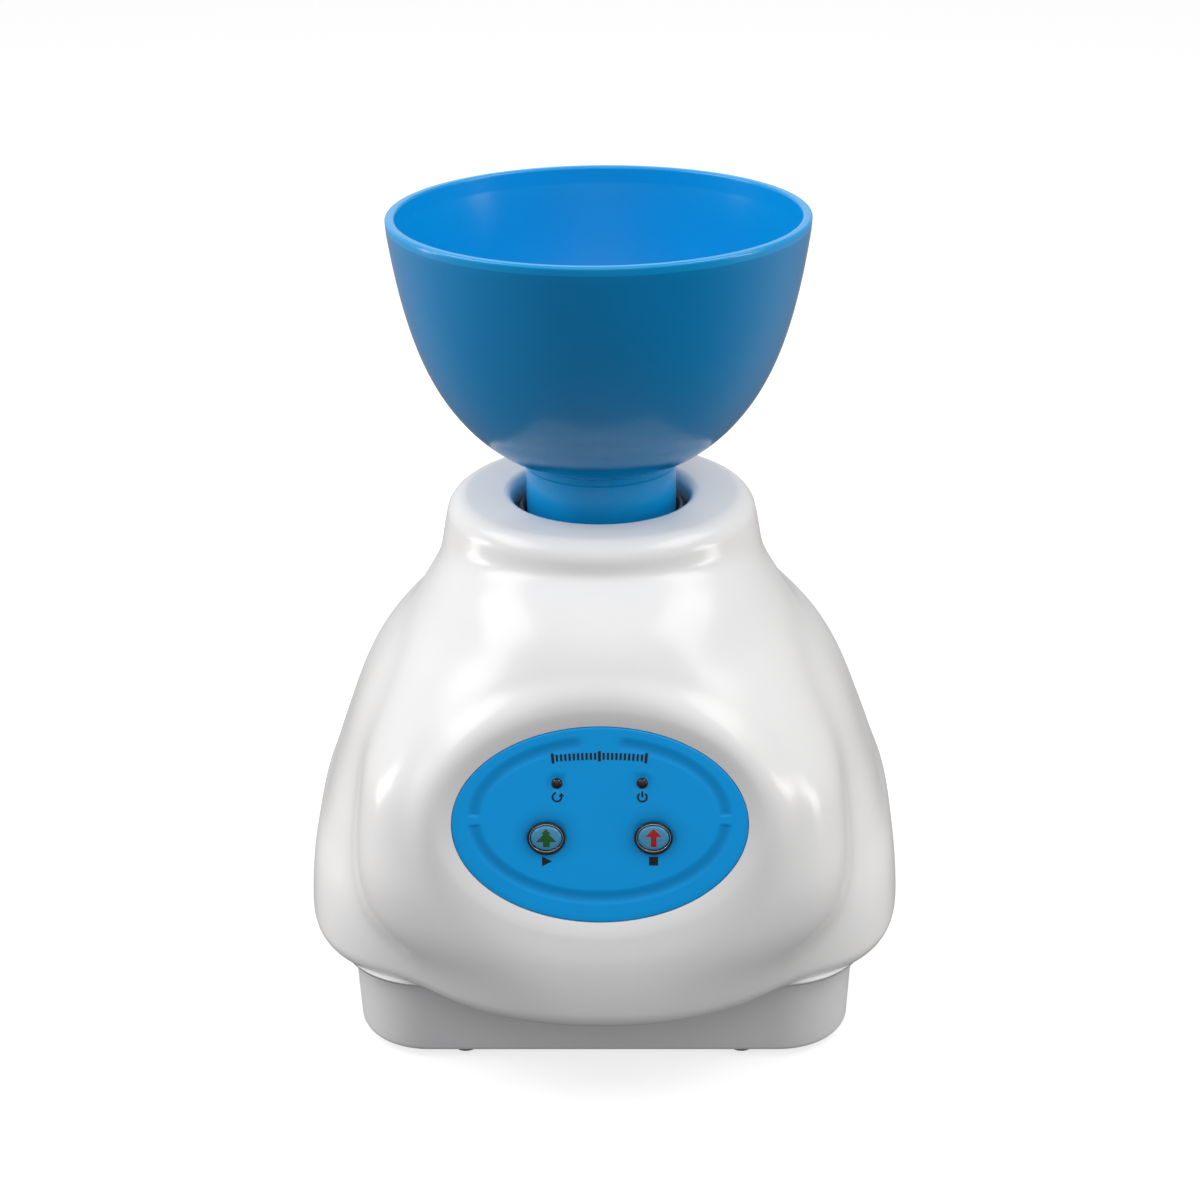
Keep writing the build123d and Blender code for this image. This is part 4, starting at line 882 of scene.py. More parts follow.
floor_out = tray_ring(BASE_Z, 2.4)
rings.append(put(floor_out, BASE_Z))
for a in (15, 30, 45, 60, 75, 90):
    a = math.radians(a)
    z = BASE_Z + 2.4 * (1 - math.cos(a))
    rings.append(put(tray_ring(z, 2.4 * (1 - math.sin(a))), z))
for z in (9, 13, 17, 21, 25, 29, 33.5):
    rings.append(put(tray_ring(z), z))
rings.append(put(tray_ring(34, 0.15), 33.9))
rings.append(put(tray_ring(34, 0.45), 34.0))
rings.append(put(tray_ring(34, 2.2), 34.0))
rings.append(put(tray_ring(34, 2.5), 33.7))
for z in (30, 24, 18, 12, 7.6):
    rings.append(put(tray_ring(z, 2.6), z))
for a in (30, 60, 90):
    a = math.radians(a)
    rings.append(put(tray_ring(7.6 - 1.4 * math.sin(a), 2.6 + 1.4 * (1 - math.cos(a))), 7.6 - 1.4 * math.sin(a)))
b.loops(rings)
floor_in = tray_ring(6.2, 4.0)
slot_shapes = []
for k in range(6):
    cy = -20 + 8 * (k - 2.5)
    slot_shapes.append(rounded_rect(52, 3.0, 1.4999, 8, (22, 1), 0, cy))
hole_shapes = slot_shapes + [ellipse(3.4, 3.4, 40, x, y) for x, y in POSTS] + [ellipse(2.2, 2.2, 28, x, y) for x, y in FEET]
EDGE = 0.35
low_ids = [put(h + EDGE * normals2(h), BASE_Z) for h in hole_shapes]
low_in = [put(h, BASE_Z + EDGE) for h in hole_shapes]
up_in = [put(h, 6.2 - EDGE) for h in hole_shapes]
up_ids = [put(h + EDGE * normals2(h), 6.2) for h in hole_shapes]
for q in range(len(hole_shapes)):
    b.loops([low_ids[q], low_in[q], up_in[q], up_ids[q]], flip=True)


def floor_faces(outer2, outer_ids, hole_ids, up):
    loops2 = [outer2] + [h + EDGE * normals2(h) for h in hole_shapes]
    order = list(map(int, outer_ids)) + [int(k) for h in hole_ids for k in h]
    tri = fill(loops2)
    b.faces([[order[k] for k in (t if up else t[::-1])] for t in tri])


floor_faces(floor_out, rings[0], low_ids, False)
floor_faces(tray_ring(6.2, 4.0), rings[-1], up_ids, True)


def turned_at(x, y, profile, n=40, mat=0, close=True):
    t = np.arange(n) * 2 * np.pi / n
    ring_ids, axis = [], {}
    for i, (r, z) in enumerate(profile):
        if r < 1e-6:
            axis[i] = (x, y, z)
            ring_ids.append(None)
        else:
            ring_ids.append(b.add_verts(np.stack([x + r * np.cos(t), y + r * np.sin(t), np.full(n, z)], -1)))
    k = len(profile)
    for i in range(k if close else k - 1):
        j = (i + 1) % k
        if ring_ids[i] is None and ring_ids[j] is None:
            continue
        if ring_ids[i] is None:
            b.fan(ring_ids[j], axis[i], mat, flip=True)
        elif ring_ids[j] is None:
            b.fan(ring_ids[i], axis[j], mat)
        else:
            b.loops([ring_ids[i], ring_ids[j]], mat=mat)


for x, y in POSTS:
    turned_at(x, y, [(5.0, 5.6), (5.0, 33.9), (4.6, 34.3), (2.2, 34.3), (1.85, 34.0), (1.85, 11.2), (3.38, 11.2), (3.38, 5.6)])
for x, y in PILLARS:
    turned_at(x, y, [(5.9, 5.6), (5.5, 7.2), (5.5, 49.8), (5.1, 50.2), (2.0, 50.2), (1.6, 49.8), (1.6, 36.0), (0, 36.0), (0, 5.6)])
base = b.object("base_tray", [MAT["base"]], "housing", sharp=50, slot="base_abs", replaces=["lower_base"])

# rubber feet
b = Builder()
for x, y in FEET:
    turned_at(x, y, round_profile([(0, 0), (4.2, 0), (4.2, BASE_Z), (2.1, BASE_Z), (2.1, 6.2), (3.0, 6.2), (2.25, 7.8), (0, 7.8)],
                                  [0, 1.4, 0.2, 0.2, 0.2, 0.3, 0.4, 0], 6), 48, close=False)
b.object("feet_rubber", [MAT["grey_rubber"]], "housing", sharp=45, slot="grey_rubber", replaces=["rubber_feet"])


# ---------------------------------------------------------------------------
# Bowl
# ---------------------------------------------------------------------------
def spline_pts(pts, n=14):
    """Centripetal curve through the points."""
    p = np.array(pts, float)
    p = np.vstack([2 * p[0] - p[1], p, 2 * p[-1] - p[-2]])
    out = []
    for i in range(1, len(p) - 2):
        p0, p1, p2, p3 = p[i - 1], p[i], p[i + 1], p[i + 2]
        t0 = 0.0
        t1 = t0 + np.linalg.norm(p1 - p0) ** 0.5
        t2 = t1 + np.linalg.norm(p2 - p1) ** 0.5
        t3 = t2 + np.linalg.norm(p3 - p2) ** 0.5
        for t in np.linspace(t1, t2, n, endpoint=False):
            a1 = (t1 - t) / (t1 - t0) * p0 + (t - t0) / (t1 - t0) * p1
            a2 = (t2 - t) / (t2 - t1) * p1 + (t - t1) / (t2 - t1) * p2
            a3 = (t3 - t) / (t3 - t2) * p2 + (t - t2) / (t3 - t2) * p3
            b1 = (t2 - t) / (t2 - t0) * a1 + (t - t0) / (t2 - t0) * a2
            b2 = (t3 - t) / (t3 - t1) * a2 + (t - t1) / (t3 - t1) * a3
            out.append((t2 - t) / (t2 - t1) * b1 + (t - t1) / (t2 - t1) * b2)
    out.append(p[-2])
    return np.array(out)


def even_curve(pts, step, sigma):
    """The curve at even steps, smoothed along its length; its ends stay."""
    q = spline_pts(pts, 30)
    s = np.concatenate([[0], np.cumsum(np.linalg.norm(np.diff(q, axis=0), axis=1))])
    n = max(int(round(s[-1] / step)), 4)
    e = np.stack([np.interp(np.linspace(0, s[-1], n + 1), s, q[:, k]) for k in (0, 1)], -1)
    if sigma:
        h = s[-1] / n
        w = int(4 * sigma / h) + 1
        k = np.exp(-0.5 * (np.arange(-w, w + 1) * h / sigma) ** 2)
        k /= k.sum()
        pad = np.vstack([2 * e[0] - e[w:0:-1], e, 2 * e[-1] - e[-2:-w - 2:-1]])
        e = np.stack([np.convolve(pad[:, c], k, mode="valid") for c in (0, 1)], -1)
    return e


outer_pts = [(24.6, 180.2), (27.5, 181.2), (31.5, 183.0), (36.0, 186.4), (41.0, 190.8), (46.4, 197.2),
             (51.2, 204.6), (55.4, 213.5), (58.6, 222.8), (61.2, 233.0), (63.3, 244.0), (64.7, 253.6)]
inner_pts = [(61.9, 253.2), (60.4, 244.0), (58.2, 233.2), (55.5, 223.6), (52.2, 214.8), (47.9, 206.4),
             (43.0, 199.5), (37.5, 193.8), (31.0, 189.4), (23.0, 186.6), (12.0, 185.3), (0, 185.0)]
outer_curve = even_curve(outer_pts, 1.0, 3.0)
inner_curve = even_curve(inner_pts, 1.0, 3.0)
lip = round_profile([tuple(outer_curve[-1]), (64.83, 255.4), (65.0, 258.0), (62.0, 258.0), tuple(inner_curve[0])], [0, 0, 0.85, 0.85, 0], 7)
foot_part = round_profile([(0, 177.5), (19.0, 177.5), (19.0, 150.5), (24.0, 150.5), (24.0, 177.3), (24.75, 178.3), (24.75, 179.9), tuple(outer_curve[3])],
                          [0, 1.5, 0.6, 0.8, 0.5, 0.5, 0.35, 0], 5)
profile = foot_part[:-1] + [tuple(p) for p in outer_curve[3:-1]] + lip[:-1] + [tuple(p) for p in inner_curve]
profile[-1] = (0.0, profile[-1][1])
# the outside takes the darker copy of the blue as painted shade; the inside, the lip and the foot take the paler copy
# as painted light
n_foot, n_out = len(foot_part) - 1, len(foot_part) + len(outer_curve[3:-1])
painted_tones = [0 if n_foot - 2 <= i < n_out else 1 for i in range(len(profile))]
bowl = lathe(profile, 288, "bowl_body", [MAT["bowl"], MAT["bowl_painted_lit"]], "bowl", mat=painted_tones, sharp=48, slot="bowl_rubber", replaces=["mixing_bowl"])
cut_me = bpy.data.meshes.new("cut")
cb = Builder()
for k in range(3):
    a = math.radians(120 * k)
    ca, sa = math.cos(a), math.sin(a)
    pts = [(x * ca - y * sa, x * sa + y * ca, z) for z in (149.0, 155.2) for x, y in ((17, -3.6), (26, -3.6), (26, 3.6), (17, 3.6))]
    i = cb.add_verts(pts)
    cb.faces([[i[3], i[2], i[1], i[0]], [i[4], i[5], i[6], i[7]], [i[0], i[1], i[5], i[4]], [i[1], i[2], i[6], i[5]], [i[2], i[3], i[7], i[6]], [i[3], i[0], i[4], i[7]]])
cut_me.from_pydata((np.concatenate(cb.v) * MM).tolist(), [], cb.f)
cutter = bpy.data.objects.new("cut", cut_me)
scene.collection.objects.link(cutter)
modified(bowl, ("BOOLEAN", {"operation": "DIFFERENCE", "object": cutter, "solver": "EXACT"}))
bpy.data.objects.remove(cutter)
bpy.data.meshes.remove(cut_me)
bowl.data.set_sharp_from_angle(angle=math.radians(48))


# ---------------------------------------------------------------------------
# Control panel
# ---------------------------------------------------------------------------
b = Builder()


def panel_ids(ring2, w):
    return b.add_verts(on_panel(ring2[:, 0], ring2[:, 1], w))


NG = 480
GA, GB, GV, GW, GD = 37.6, 23.7, 1.5, 1.35, 0.30
tt = np.arange(NG) * 2 * np.pi / NG
mid = ellipse(GA, GB, NG, 0, GV)
mid_n = ellipse(GA, GB, NG, 0, GV, 1.0) - mid
edge_ring = ellipse(PA, PB, NG)
deg = np.degrees(tt)


def gate(a0, half, soft_deg):
    d = np.abs((deg - a0 + 180) % 360 - 180)
    return np.clip((d - half) / soft_deg, 0, 1)


open_ = gate(90, 6.5, 6) * gate(0, 2.6, 2.0) * gate(180, 2.6, 2.0)
open_ = open_ * open_ * (3 - 2 * open_)
offs = np.linspace(-1.9 * GW, 1.9 * GW, 19)
groove_rings, groove_shade = [], []
for o in offs:
    q = mid + o * mid_n
    k = np.clip(1 - (abs(o) / (1.75 * GW)) ** 2, 0, 1) ** 1.6
    groove_rings.append(b.add_verts(on_panel(q[:, 0], q[:, 1], -GD * k * open_)))
    groove_shade += list(k * open_)
outer_of_groove = mid + offs[-1] * mid_n
between = []
for t in (0.33, 0.66):
    q = outer_of_groove + t * (edge_ring * (1 - 0.6 / 40) - outer_of_groove)
    between.append(panel_ids(q, 0.0))
    groove_shade += [0.0] * NG
edge_n = ellipse(PA, PB, NG, offset=1.0) - edge_ring
for a in (0, 22.5, 45, 67.5, 90):
    a = math.radians(a)
    q = edge_ring - 0.45 * (1 - math.sin(a)) * edge_n
    between.append(panel_ids(q, -0.45 * (1 - math.cos(a))))
    groove_shade += [0.0] * NG
for w in (-1.0, -1.8):
    between.append(panel_ids(edge_ring, w))
    groove_shade += [0.0] * NG
b.loops(groove_rings + between, flip=True)
panel_holes = [ellipse(5.0, 4.1, 72, sx * BU, BV) for sx in (-1, 1)] + [ellipse(1.62, 1.62, 36, sx * LU, LV) for sx in (-1, 1)]
soft_holes = [h + 0.12 * normals2(h) for h in panel_holes]
top_ids = [panel_ids(h, 0.0) for h in soft_holes]
wall_ids = [panel_ids(h, -0.12) for h in panel_holes]
low2_ids = [panel_ids(h, -1.8) for h in panel_holes]
for q in range(4):
    b.loops([top_ids[q], wall_ids[q], low2_ids[q]])
inner2 = mid + offs[0] * mid_n
extra = []
for uu in np.arange(-36, 37, 2.4):
    for vv in np.arange(-24, 26, 2.4):
        p2 = np.array([[uu, vv]])
        small = GV
        if ((uu / (GA - 4.6)) ** 2 + ((vv - GV) / (GB - 4.6)) ** 2) < 1 and all(((uu - c[0]) / c[2]) ** 2 + ((vv - c[1]) / c[3]) ** 2 > 1 for c in ((-BU, BV, 6.4, 5.5), (BU, BV, 6.4, 5.5), (-LU, LV, 3, 3), (LU, LV, 3, 3))):
            extra.append((uu, vv))
extra = np.array(extra)
extra_ids = panel_ids(extra, 0.0)
order = list(map(int, groove_rings[0])) + [int(k) for h in top_ids for k in h] + list(map(int, extra_ids))
b.faces([[order[k] for k in t] for t in fill([inner2] + soft_holes, extra)])
back_ring = ellipse(PA, PB, NG)
order = list(map(int, between[-1])) + [int(k) for h in low2_ids for k in h]
b.faces([[order[k] for k in t][::-1] for t in fill([back_ring] + panel_holes)])
panel = b.object("panel_overlay", [MAT["panel"]], "housing", sharp=60, slot="panel_blue", replaces=["control_panel"])
# the groove attribute carries the painted shade of the groove to the panel material
att = panel.data.attributes.new("groove", "FLOAT", "POINT")
vals = np.zeros(len(panel.data.vertices), np.float32)
vals[: len(groove_shade)] = groove_shade
att.data.foreach_set("value", vals)


# --- bezels, keys and their arrows, lamps -------------------------------------
CAP_A, CAP_B = 4.72, 3.82


def cap_height(du, dv):
    """Top of a key cap over its middle: a shallow dome that falls away at the edge."""
    k = np.sqrt((du / CAP_A) ** 2 + (dv / CAP_B) ** 2)
    return 1.15 - 0.22 * k**2 - 0.60 * np.clip((k - 0.84) / 0.16, 0, 1) ** 2.2


def denser(loop, step):
    """Splits long sides. The new points lie a hair outside, so that no three are in line."""
    l = np.asarray(loop, float)
    turn = np.sum(l[:, 0] * np.roll(l[:, 1], -1) - np.roll(l[:, 0], -1) * l[:, 1])
    q = []
    for i in range(len(l)):
        p0, p1 = l[i], l[(i + 1) % len(l)]
        d = p1 - p0
        n = max(1, int(math.ceil(np.linalg.norm(d) / step)))
        out = np.array([d[1], -d[0]]) / np.linalg.norm(d) * (1 if turn > 0 else -1)
        q += [p0 + d * k / n + out * 0.004 * math.sin(math.pi * k / n) for k in range(n)]
    return np.array(q)


def mark(name, shapes, mat, body, height, lift=0.03, centre=(0, 0), slot=None, step=0.55, dome=None):
    """A thin raised print. Each shape is a list of loops: its outline, then its holes."""
    bb = Builder()
    for loops2 in shapes:
        dense = [denser(l, step) if dome else np.asarray(l, float) for l in loops2]
        lo, hi = dense[0].min(0), dense[0].max(0)
        grid2 = [(x, y) for x in np.arange(lo[0] + step / 2, hi[0], step) for y in np.arange(lo[1] + step / 2, hi[1], step)] if dome else []
        ext = np.zeros((0, 2))
        if grid2:
            g = np.array(grid2)
            keep_in = inside(dense[0], g)
            for l in dense[1:]:
                keep_in &= ~inside(l, g)
            near = np.full(len(g), 9.0)
            for l in dense:
                e = np.roll(l, -1, 0) - l
                k = np.clip(np.sum((g[:, None] - l[None]) * e[None], 2) / np.sum(e * e, 1), 0, 1)
                near = np.minimum(near, np.min(np.linalg.norm(g[:, None] - l[None] - k[..., None] * e[None], axis=2), axis=1))
            ext = g[keep_in & (near > 0.3 * step)]
        allp = np.vstack(dense + [ext])
        base_w = dome(allp[:, 0], allp[:, 1]) if dome else np.zeros(len(allp))
        top = bb.add_verts(on_panel(allp[:, 0] + centre[0], allp[:, 1] + centre[1], height + base_w + lift))
        bot = bb.add_verts(on_panel(allp[:, 0] + centre[0], allp[:, 1] + centre[1], height + base_w - 0.02))
        tri = fill(dense, ext)
        bb.faces([[int(top[k]) for k in t] for t in tri])
        bb.faces([[int(bot[k]) for k in t][::-1] for t in tri])
        s = 0
        for l in dense:
            k = np.arange(s, s + len(l))
            ccw = 0.5 * np.sum(l[:, 0] * np.roll(l[:, 1], -1) - np.roll(l[:, 0], -1) * l[:, 1]) > 0
            if (s == 0) == bool(ccw):
                bb.loops([bot[k], top[k]])
            else:
                bb.loops([top[k], bot[k]])
            s += len(l)
    return bb.object(name, [mat], body, sharp=30, slot=slot)


def arc_loop(r0, r1, a0, a1, cx=0.0, cy=0.0, n=24, sy=1.0):
    """Part of a ring as one closed outline, angles in degrees."""
    a = np.radians(np.linspace(a0, a1, n))
    o = np.stack([cx + r1 * np.cos(a), cy + sy * r1 * np.sin(a)], -1)
    i = np.stack([cx + r0 * np.cos(a), cy + sy * r0 * np.sin(a)], -1)[::-1]
    return np.vstack([o, i])


ring_t = np.arange(96) * 2 * np.pi / 96
cosr, sinr = np.cos(ring_t), np.sin(ring_t)
for word, sx in (("start", -1), ("stop", 1)):
    cu = sx * BU
    b = Builder()
    # black ring, a little wider at the bottom
    prof = round_profile([(4.87, -1.8), (4.98, -1.8), (4.98, 0.0), (5.76, 0.0), (5.70, 0.86), (5.20, 0.90), (5.14, 0.45), (4.87, 0.25), (4.87, -1.8)],
                         [0, 0, 0, 0.12, 0.26, 0.18, 0.05, 0.05, 0], 5)
    prof = prof[:-1]
    rr = []
    for r, w in prof:
        low = np.clip(-sinr, 0, 1) ** 1.5 * 0.34 * np.clip((r - 5.2) / 0.5, 0, 1)
        rr.append(b.add_verts(on_panel(cu + r * cosr, BV + (r - 0.9) * sinr - low, w)))
    b.loops(rr + [rr[0]])
    b.object(word + "_key_ring", [MAT["gloss_black"]], "housing", sharp=50, slot="black_plastic", replaces=[word + "_bezel"])
    # bright inner ring
    b = Builder()
    prof = round_profile([(4.90, 0.22), (5.16, 0.44), (5.14, 0.80), (5.00, 0.82), (4.88, 0.40), (4.90, 0.22)], [0, 0.05, 0.06, 0.06, 0.05, 0], 4)[:-1]
    rr = [b.add_verts(on_panel(cu + r * cosr, BV + (r - 0.9) * sinr, w)) for r, w in prof]
    b.loops(rr + [rr[0]])
    b.object(word + "_key_trim", [MAT["silver"]], "housing", sharp=50, slot="steel")
    # cap
    b = Builder()
    key_body = word + "_key"
    rings = []
    for k in np.linspace(1, 0.08, 16):
        du, dv = CAP_A * k * cosr, CAP_B * k * sinr
        rings.append(b.add_verts(on_panel(cu + du, BV + dv, cap_height(du, dv))))
    c = int(b.add_verts(on_panel(cu, BV, cap_height(np.zeros(1), np.zeros(1))))[0])
    low_side = [b.add_verts(on_panel(cu + CAP_A * cosr, BV + CAP_B * sinr, w)) for w in (-2.0,)]
    flange = [b.add_verts(on_panel(cu + a * cosr, BV + (a - 0.9) * sinr, w)) for a, w in ((5.8, -2.0), (5.8, -3.2), (2.7, -3.2))]
    stem = [b.add_verts(on_panel(cu + 1.8 * cosr, BV + 1.8 * sinr, w)) for w in (-3.2, -7.4)]
    b.loops([stem[1], stem[0], flange[2], flange[1], flange[0], low_side[0]] + rings)
    for i in range(96):
        b.f.append([int(rings[-1][i]), int(rings[-1][(i + 1) % 96]), c])
        b.m.append(0)
    e = int(b.add_verts(on_panel(cu, BV, -7.4).reshape(1, 3))[0])
    for i in range(96):
        b.f.append([int(stem[1][(i + 1) % 96]), int(stem[1][i]), e])
        b.m.append(0)
    b.object(word + "_key_cap", [MAT["cap"]], key_body, sharp=40, slot="button_clear", replaces=[word + "_button"])

up_two = [[(-0.1, 2.75), (1.42, 1.35), (0.62, 1.32), (2.0, 0.05), (3.05, -0.98), (1.0, -1.02), (1.0, -2.5), (-0.92, -2.5), (-0.92, -1.02), (-3.0, -0.98), (-1.9, 0.05), (-0.72, 1.32), (-1.48, 1.35)]]
up_one = [[(0.0, 2.75), (2.5, 0.42), (0.88, 0.42), (0.88, -2.6), (-0.80, -2.6), (-0.80, 0.42), (-2.5, 0.42)]]


def scaled(shape, kx, ky, dy):
    return [[(x * kx, y * ky + dy) for x, y in loop] for loop in shape]


mark("start_arrow", [scaled([l[::-1] for l in up_two], 1.0, 1.06, 0.0)], MAT["green"], "start_key", 0.0, 0.025, (-BU, BV), "panel_blue", 0.45, cap_height)
mark("stop_arrow", [scaled([l[::-1] for l in up_one], 1.0, 1.04, 0.0)], MAT["red"], "stop_key", 0.0, 0.025, (BU, BV), "panel_blue", 0.45, cap_height)

for word, sx in (("running", -1), ("power", 1)):
    b = Builder()
    cu = sx * LU
    t36 = np.arange(48) * 2 * np.pi / 48
    prof = round_profile([(1.5, -4.0), (1.5, 0.35), (1.15, 0.72), (0.6, 0.86), (0.0, 0.9)], [0, 0.2, 0.3, 0.3, 0], 4)
    full = [(1.9, -5.2), (1.9, -4.0)] + prof
    rr = [b.add_verts(on_panel(cu + r * np.cos(t36), LV + r * np.sin(t36), w)) for r, w in full[:-1]]
    b.loops(rr)
    for w, rg, fl in ((full[-1][1], rr[-1], False), (-5.2, rr[0], True)):
        c = int(b.add_verts(on_panel(cu, LV, w).reshape(1, 3))[0])
        for i in range(48):
            i2 = (i + 1) % 48
            b.f.append([int(rg[i2]), int(rg[i]), c] if fl else [int(rg[i]), int(rg[i2]), c])
            b.m.append(0)
    b.object(word + "_lamp_lens", [MAT["lamp"]], "housing", sharp=40, slot="lamp_dark")

# --- plain marks where the photograph has lettering ---------------------------
ticks = []
R_ARC, V0 = 150.0, 21.1
n_tick = 23
for i in range(n_tick):
    s = -13.9 + 27.8 * i / (n_tick - 1)
    a = s / R_ARC
    long = i % 11 == 0
    hw, hh = (0.42, 1.55) if long else (0.34, 1.05)
    cx, cy = R_ARC * math.sin(a), V0 - R_ARC * (1 - math.cos(a))
    ca, sa = math.cos(-a), math.sin(-a)
    quad = [(-hw, -hh), (hw, -hh), (hw, hh), (-hw, hh)]
    ticks.append([[(cx + x * ca - y * sa, cy + x * sa + y * ca) for x, y in quad]])
mark("scale_marks", ticks, MAT["ink"], "housing", 0.0, 0.03, slot="black_plastic")

turning = [arc_loop(1.05, 1.62, 100, 365, 0, 0, 30)]
tip = [(0.55, 0.10), (2.15, 0.22), (1.28, 1.40)]
mark("running_mark", [turning, [tip]], MAT["ink"], "housing", 0.0, 0.03, (-LU, 8.7), "black_plastic")
broken = [arc_loop(1.05, 1.62, 125, 415, 0, 0, 32)]
bar = [(-0.28, -0.1), (0.28, -0.1), (0.28, 1.85), (-0.28, 1.85)]
mark("power_mark", [broken, [bar]], MAT["ink"], "housing", 0.0, 0.03, (LU, 8.6), "black_plastic")
mark("start_mark", [[[(-1.35, -1.55), (1.65, 0.0), (-1.35, 1.55)]]], MAT["ink"], "housing", 0.0, 0.03, (-BU, -11.0), "black_plastic")
mark("stop_mark", [[[(-1.35, -1.35), (1.35, -1.35), (1.35, 1.35), (-1.35, 1.35)]]], MAT["ink"], "housing", 0.0, 0.03, (BU, -11.0), "black_plastic")


# ---------------------------------------------------------------------------
# Back: mains inlet, fuse drawer and rocker switch
# ---------------------------------------------------------------------------
def round_loop(pts, r, seg=5):
    """Rounds every corner of a closed outline."""
    pts = [np.array(p, float) for p in pts]
    n = len(pts)
    out = []
    for i, p in enumerate(pts):
        a, c = pts[i - 1] - p, pts[(i + 1) % n] - p
        la, lc = np.linalg.norm(a), np.linalg.norm(c)
        a, c = a / la, c / lc
        ang = math.acos(max(-1, min(1, float(a @ c))))
        t = min(r / math.tan(ang / 2), 0.45 * la, 0.45 * lc)
        rr = t * math.tan(ang / 2)
        bis = (a + c) / np.linalg.norm(a + c)
        m = p + bis * rr / math.sin(ang / 2)
        s, e = p + a * t - m, p + c * t - m
        a0, a1 = math.atan2(s[1], s[0]), math.atan2(e[1], e[0])
        d = (a1 - a0 + math.pi) % (2 * math.pi) - math.pi
        out += [(m[0] + rr * math.cos(a0 + d * k / seg), m[1] + rr * math.sin(a0 + d * k / seg)) for k in range(seg + 1)]
    return np.array(out)


def at_y(ring2, y):
    ring2 = np.asarray(ring2, float)
    y = np.broadcast_to(y, (len(ring2),))
    return b.add_verts(np.stack([ring2[:, 0], y, ring2[:, 1]], -1))


def block_y(outline, y0, y1, edge=0.4, holes=(), seg=4, mat=0, back_edge=0.15, tail=None):
    """A block that stands along +Y on an outline in X and Z, with rounded edges.
    Each hole is (outline, depth, rounding of its edge). A tail is (outline, y) of a body behind the block."""
    outline = np.asarray(outline, float)
    nrm = normals2(outline)
    rings = [at_y(outline - back_edge * nrm, y0), at_y(outline, y0 + back_edge), at_y(outline, y1 - edge)]
    last = outline - back_edge * nrm
    if tail:
        last = tail[0] - 0.3 * normals2(tail[0])
        rings = [at_y(last, tail[1]), at_y(tail[0], tail[1] + 0.3), at_y(tail[0], y0)] + rings
    for k in range(1, seg + 1):
        a = math.radians(90 * k / seg)
        rings.append(at_y(outline - edge * (1 - math.cos(a)) * nrm, y1 - edge + edge * math.sin(a)))
    b.loops(rings, flip=True, mat=mat)
    inner = outline - edge * nrm
    loops2, order = [inner], list(map(int, rings[-1]))
    for h, depth, soft_edge in holes:
        h = np.asarray(h, float)
        hn = normals2(h)
        hr = []
        for k in range(0, 4):
            a = math.radians(30 * k)
            hr.append(at_y(h + soft_edge * (1 - math.sin(a)) * hn, y1 - soft_edge * (1 - math.cos(a))))
        hr.append(at_y(h, y1 - depth))
        b.loops(hr, flip=True, mat=mat)
        loops2.append(h + soft_edge * hn)
        order += list(map(int, hr[0]))
        b.faces([[int(hr[-1][k]) for k in t][::-1] for t in fill([h])], mat)
    b.faces([[order[k] for k in t][::-1] for t in fill(loops2)], mat)
    back_id = list(map(int, rings[0]))
    b.faces([[back_id[k] for k in t] for t in fill([last])], mat)


SOCKET = round_loop([(IX + u, REAR_Z + 3.6 + v) for u, v in ((-12, -7.6), (12, -7.6), (12, 3.2), (8, 7.6), (-8, 7.6), (-12, 3.2))], 1.3, 5)
DRAWER_Z = REAR_Z - 8.6
b = Builder()
slot_hole = round_loop([(IX - 12.3, DRAWER_Z - 3.3), (IX + 12.3, DRAWER_Z - 3.3), (IX + 12.3, DRAWER_Z + 3.3), (IX - 12.3, DRAWER_Z + 3.3)], 0.5, 3)
screw_holes = [ellipse(1.8, 1.8, 32, IX + s * 20, REAR_Z) for s in (-1, 1)]
block_y(rounded_rect(49, 30, 5, 12, (20, 12), IX, REAR_Z), REAR_Y, REAR_Y + 2.5, 0.8,
        [(SOCKET, 16.5, 0.5), (slot_hole, 23.5, 0.3)] + [(h, 2.45, 0.25) for h in screw_holes], 5,
        tail=(rounded_rect(28, 25, 1.5, 12, (20, 12), IX, REAR_Z), REAR_Y - 24.0))
inlet = b.object("inlet_body", [MAT["black"]], "housing", sharp=45, slot="black_plastic", replaces=["mains_inlet"])
b = Builder()
for z in (REAR_Z + 8, REAR_Z + 2.5, REAR_Z - 3):
    tab = round_loop([(IX - 3.2, z - 0.4), (IX + 3.2, z - 0.4), (IX + 3.2, z + 0.4), (IX - 3.2, z + 0.4)], 0.15, 2)
    block_y(tab, REAR_Y - 31, REAR_Y - 23.5, 0.1, (), 2)
b.object("inlet_tabs", [MAT["brass"]], "housing", sharp=40, slot="brass")
b = Builder()
for x, z in ((IX - 7, REAR_Z + 2.2), (IX, REAR_Z + 5.6), (IX + 7, REAR_Z + 2.2)):
    block_y(round_loop([(x - 1, z - 2), (x + 1, z - 2), (x + 1, z + 2), (x - 1, z + 2)], 0.25, 3), REAR_Y - 14, REAR_Y - 3, 0.24, (), 3)
b.object("inlet_contacts", [MAT["brass"]], "housing", sharp=40, slot="brass", replaces=["inlet_pins"])


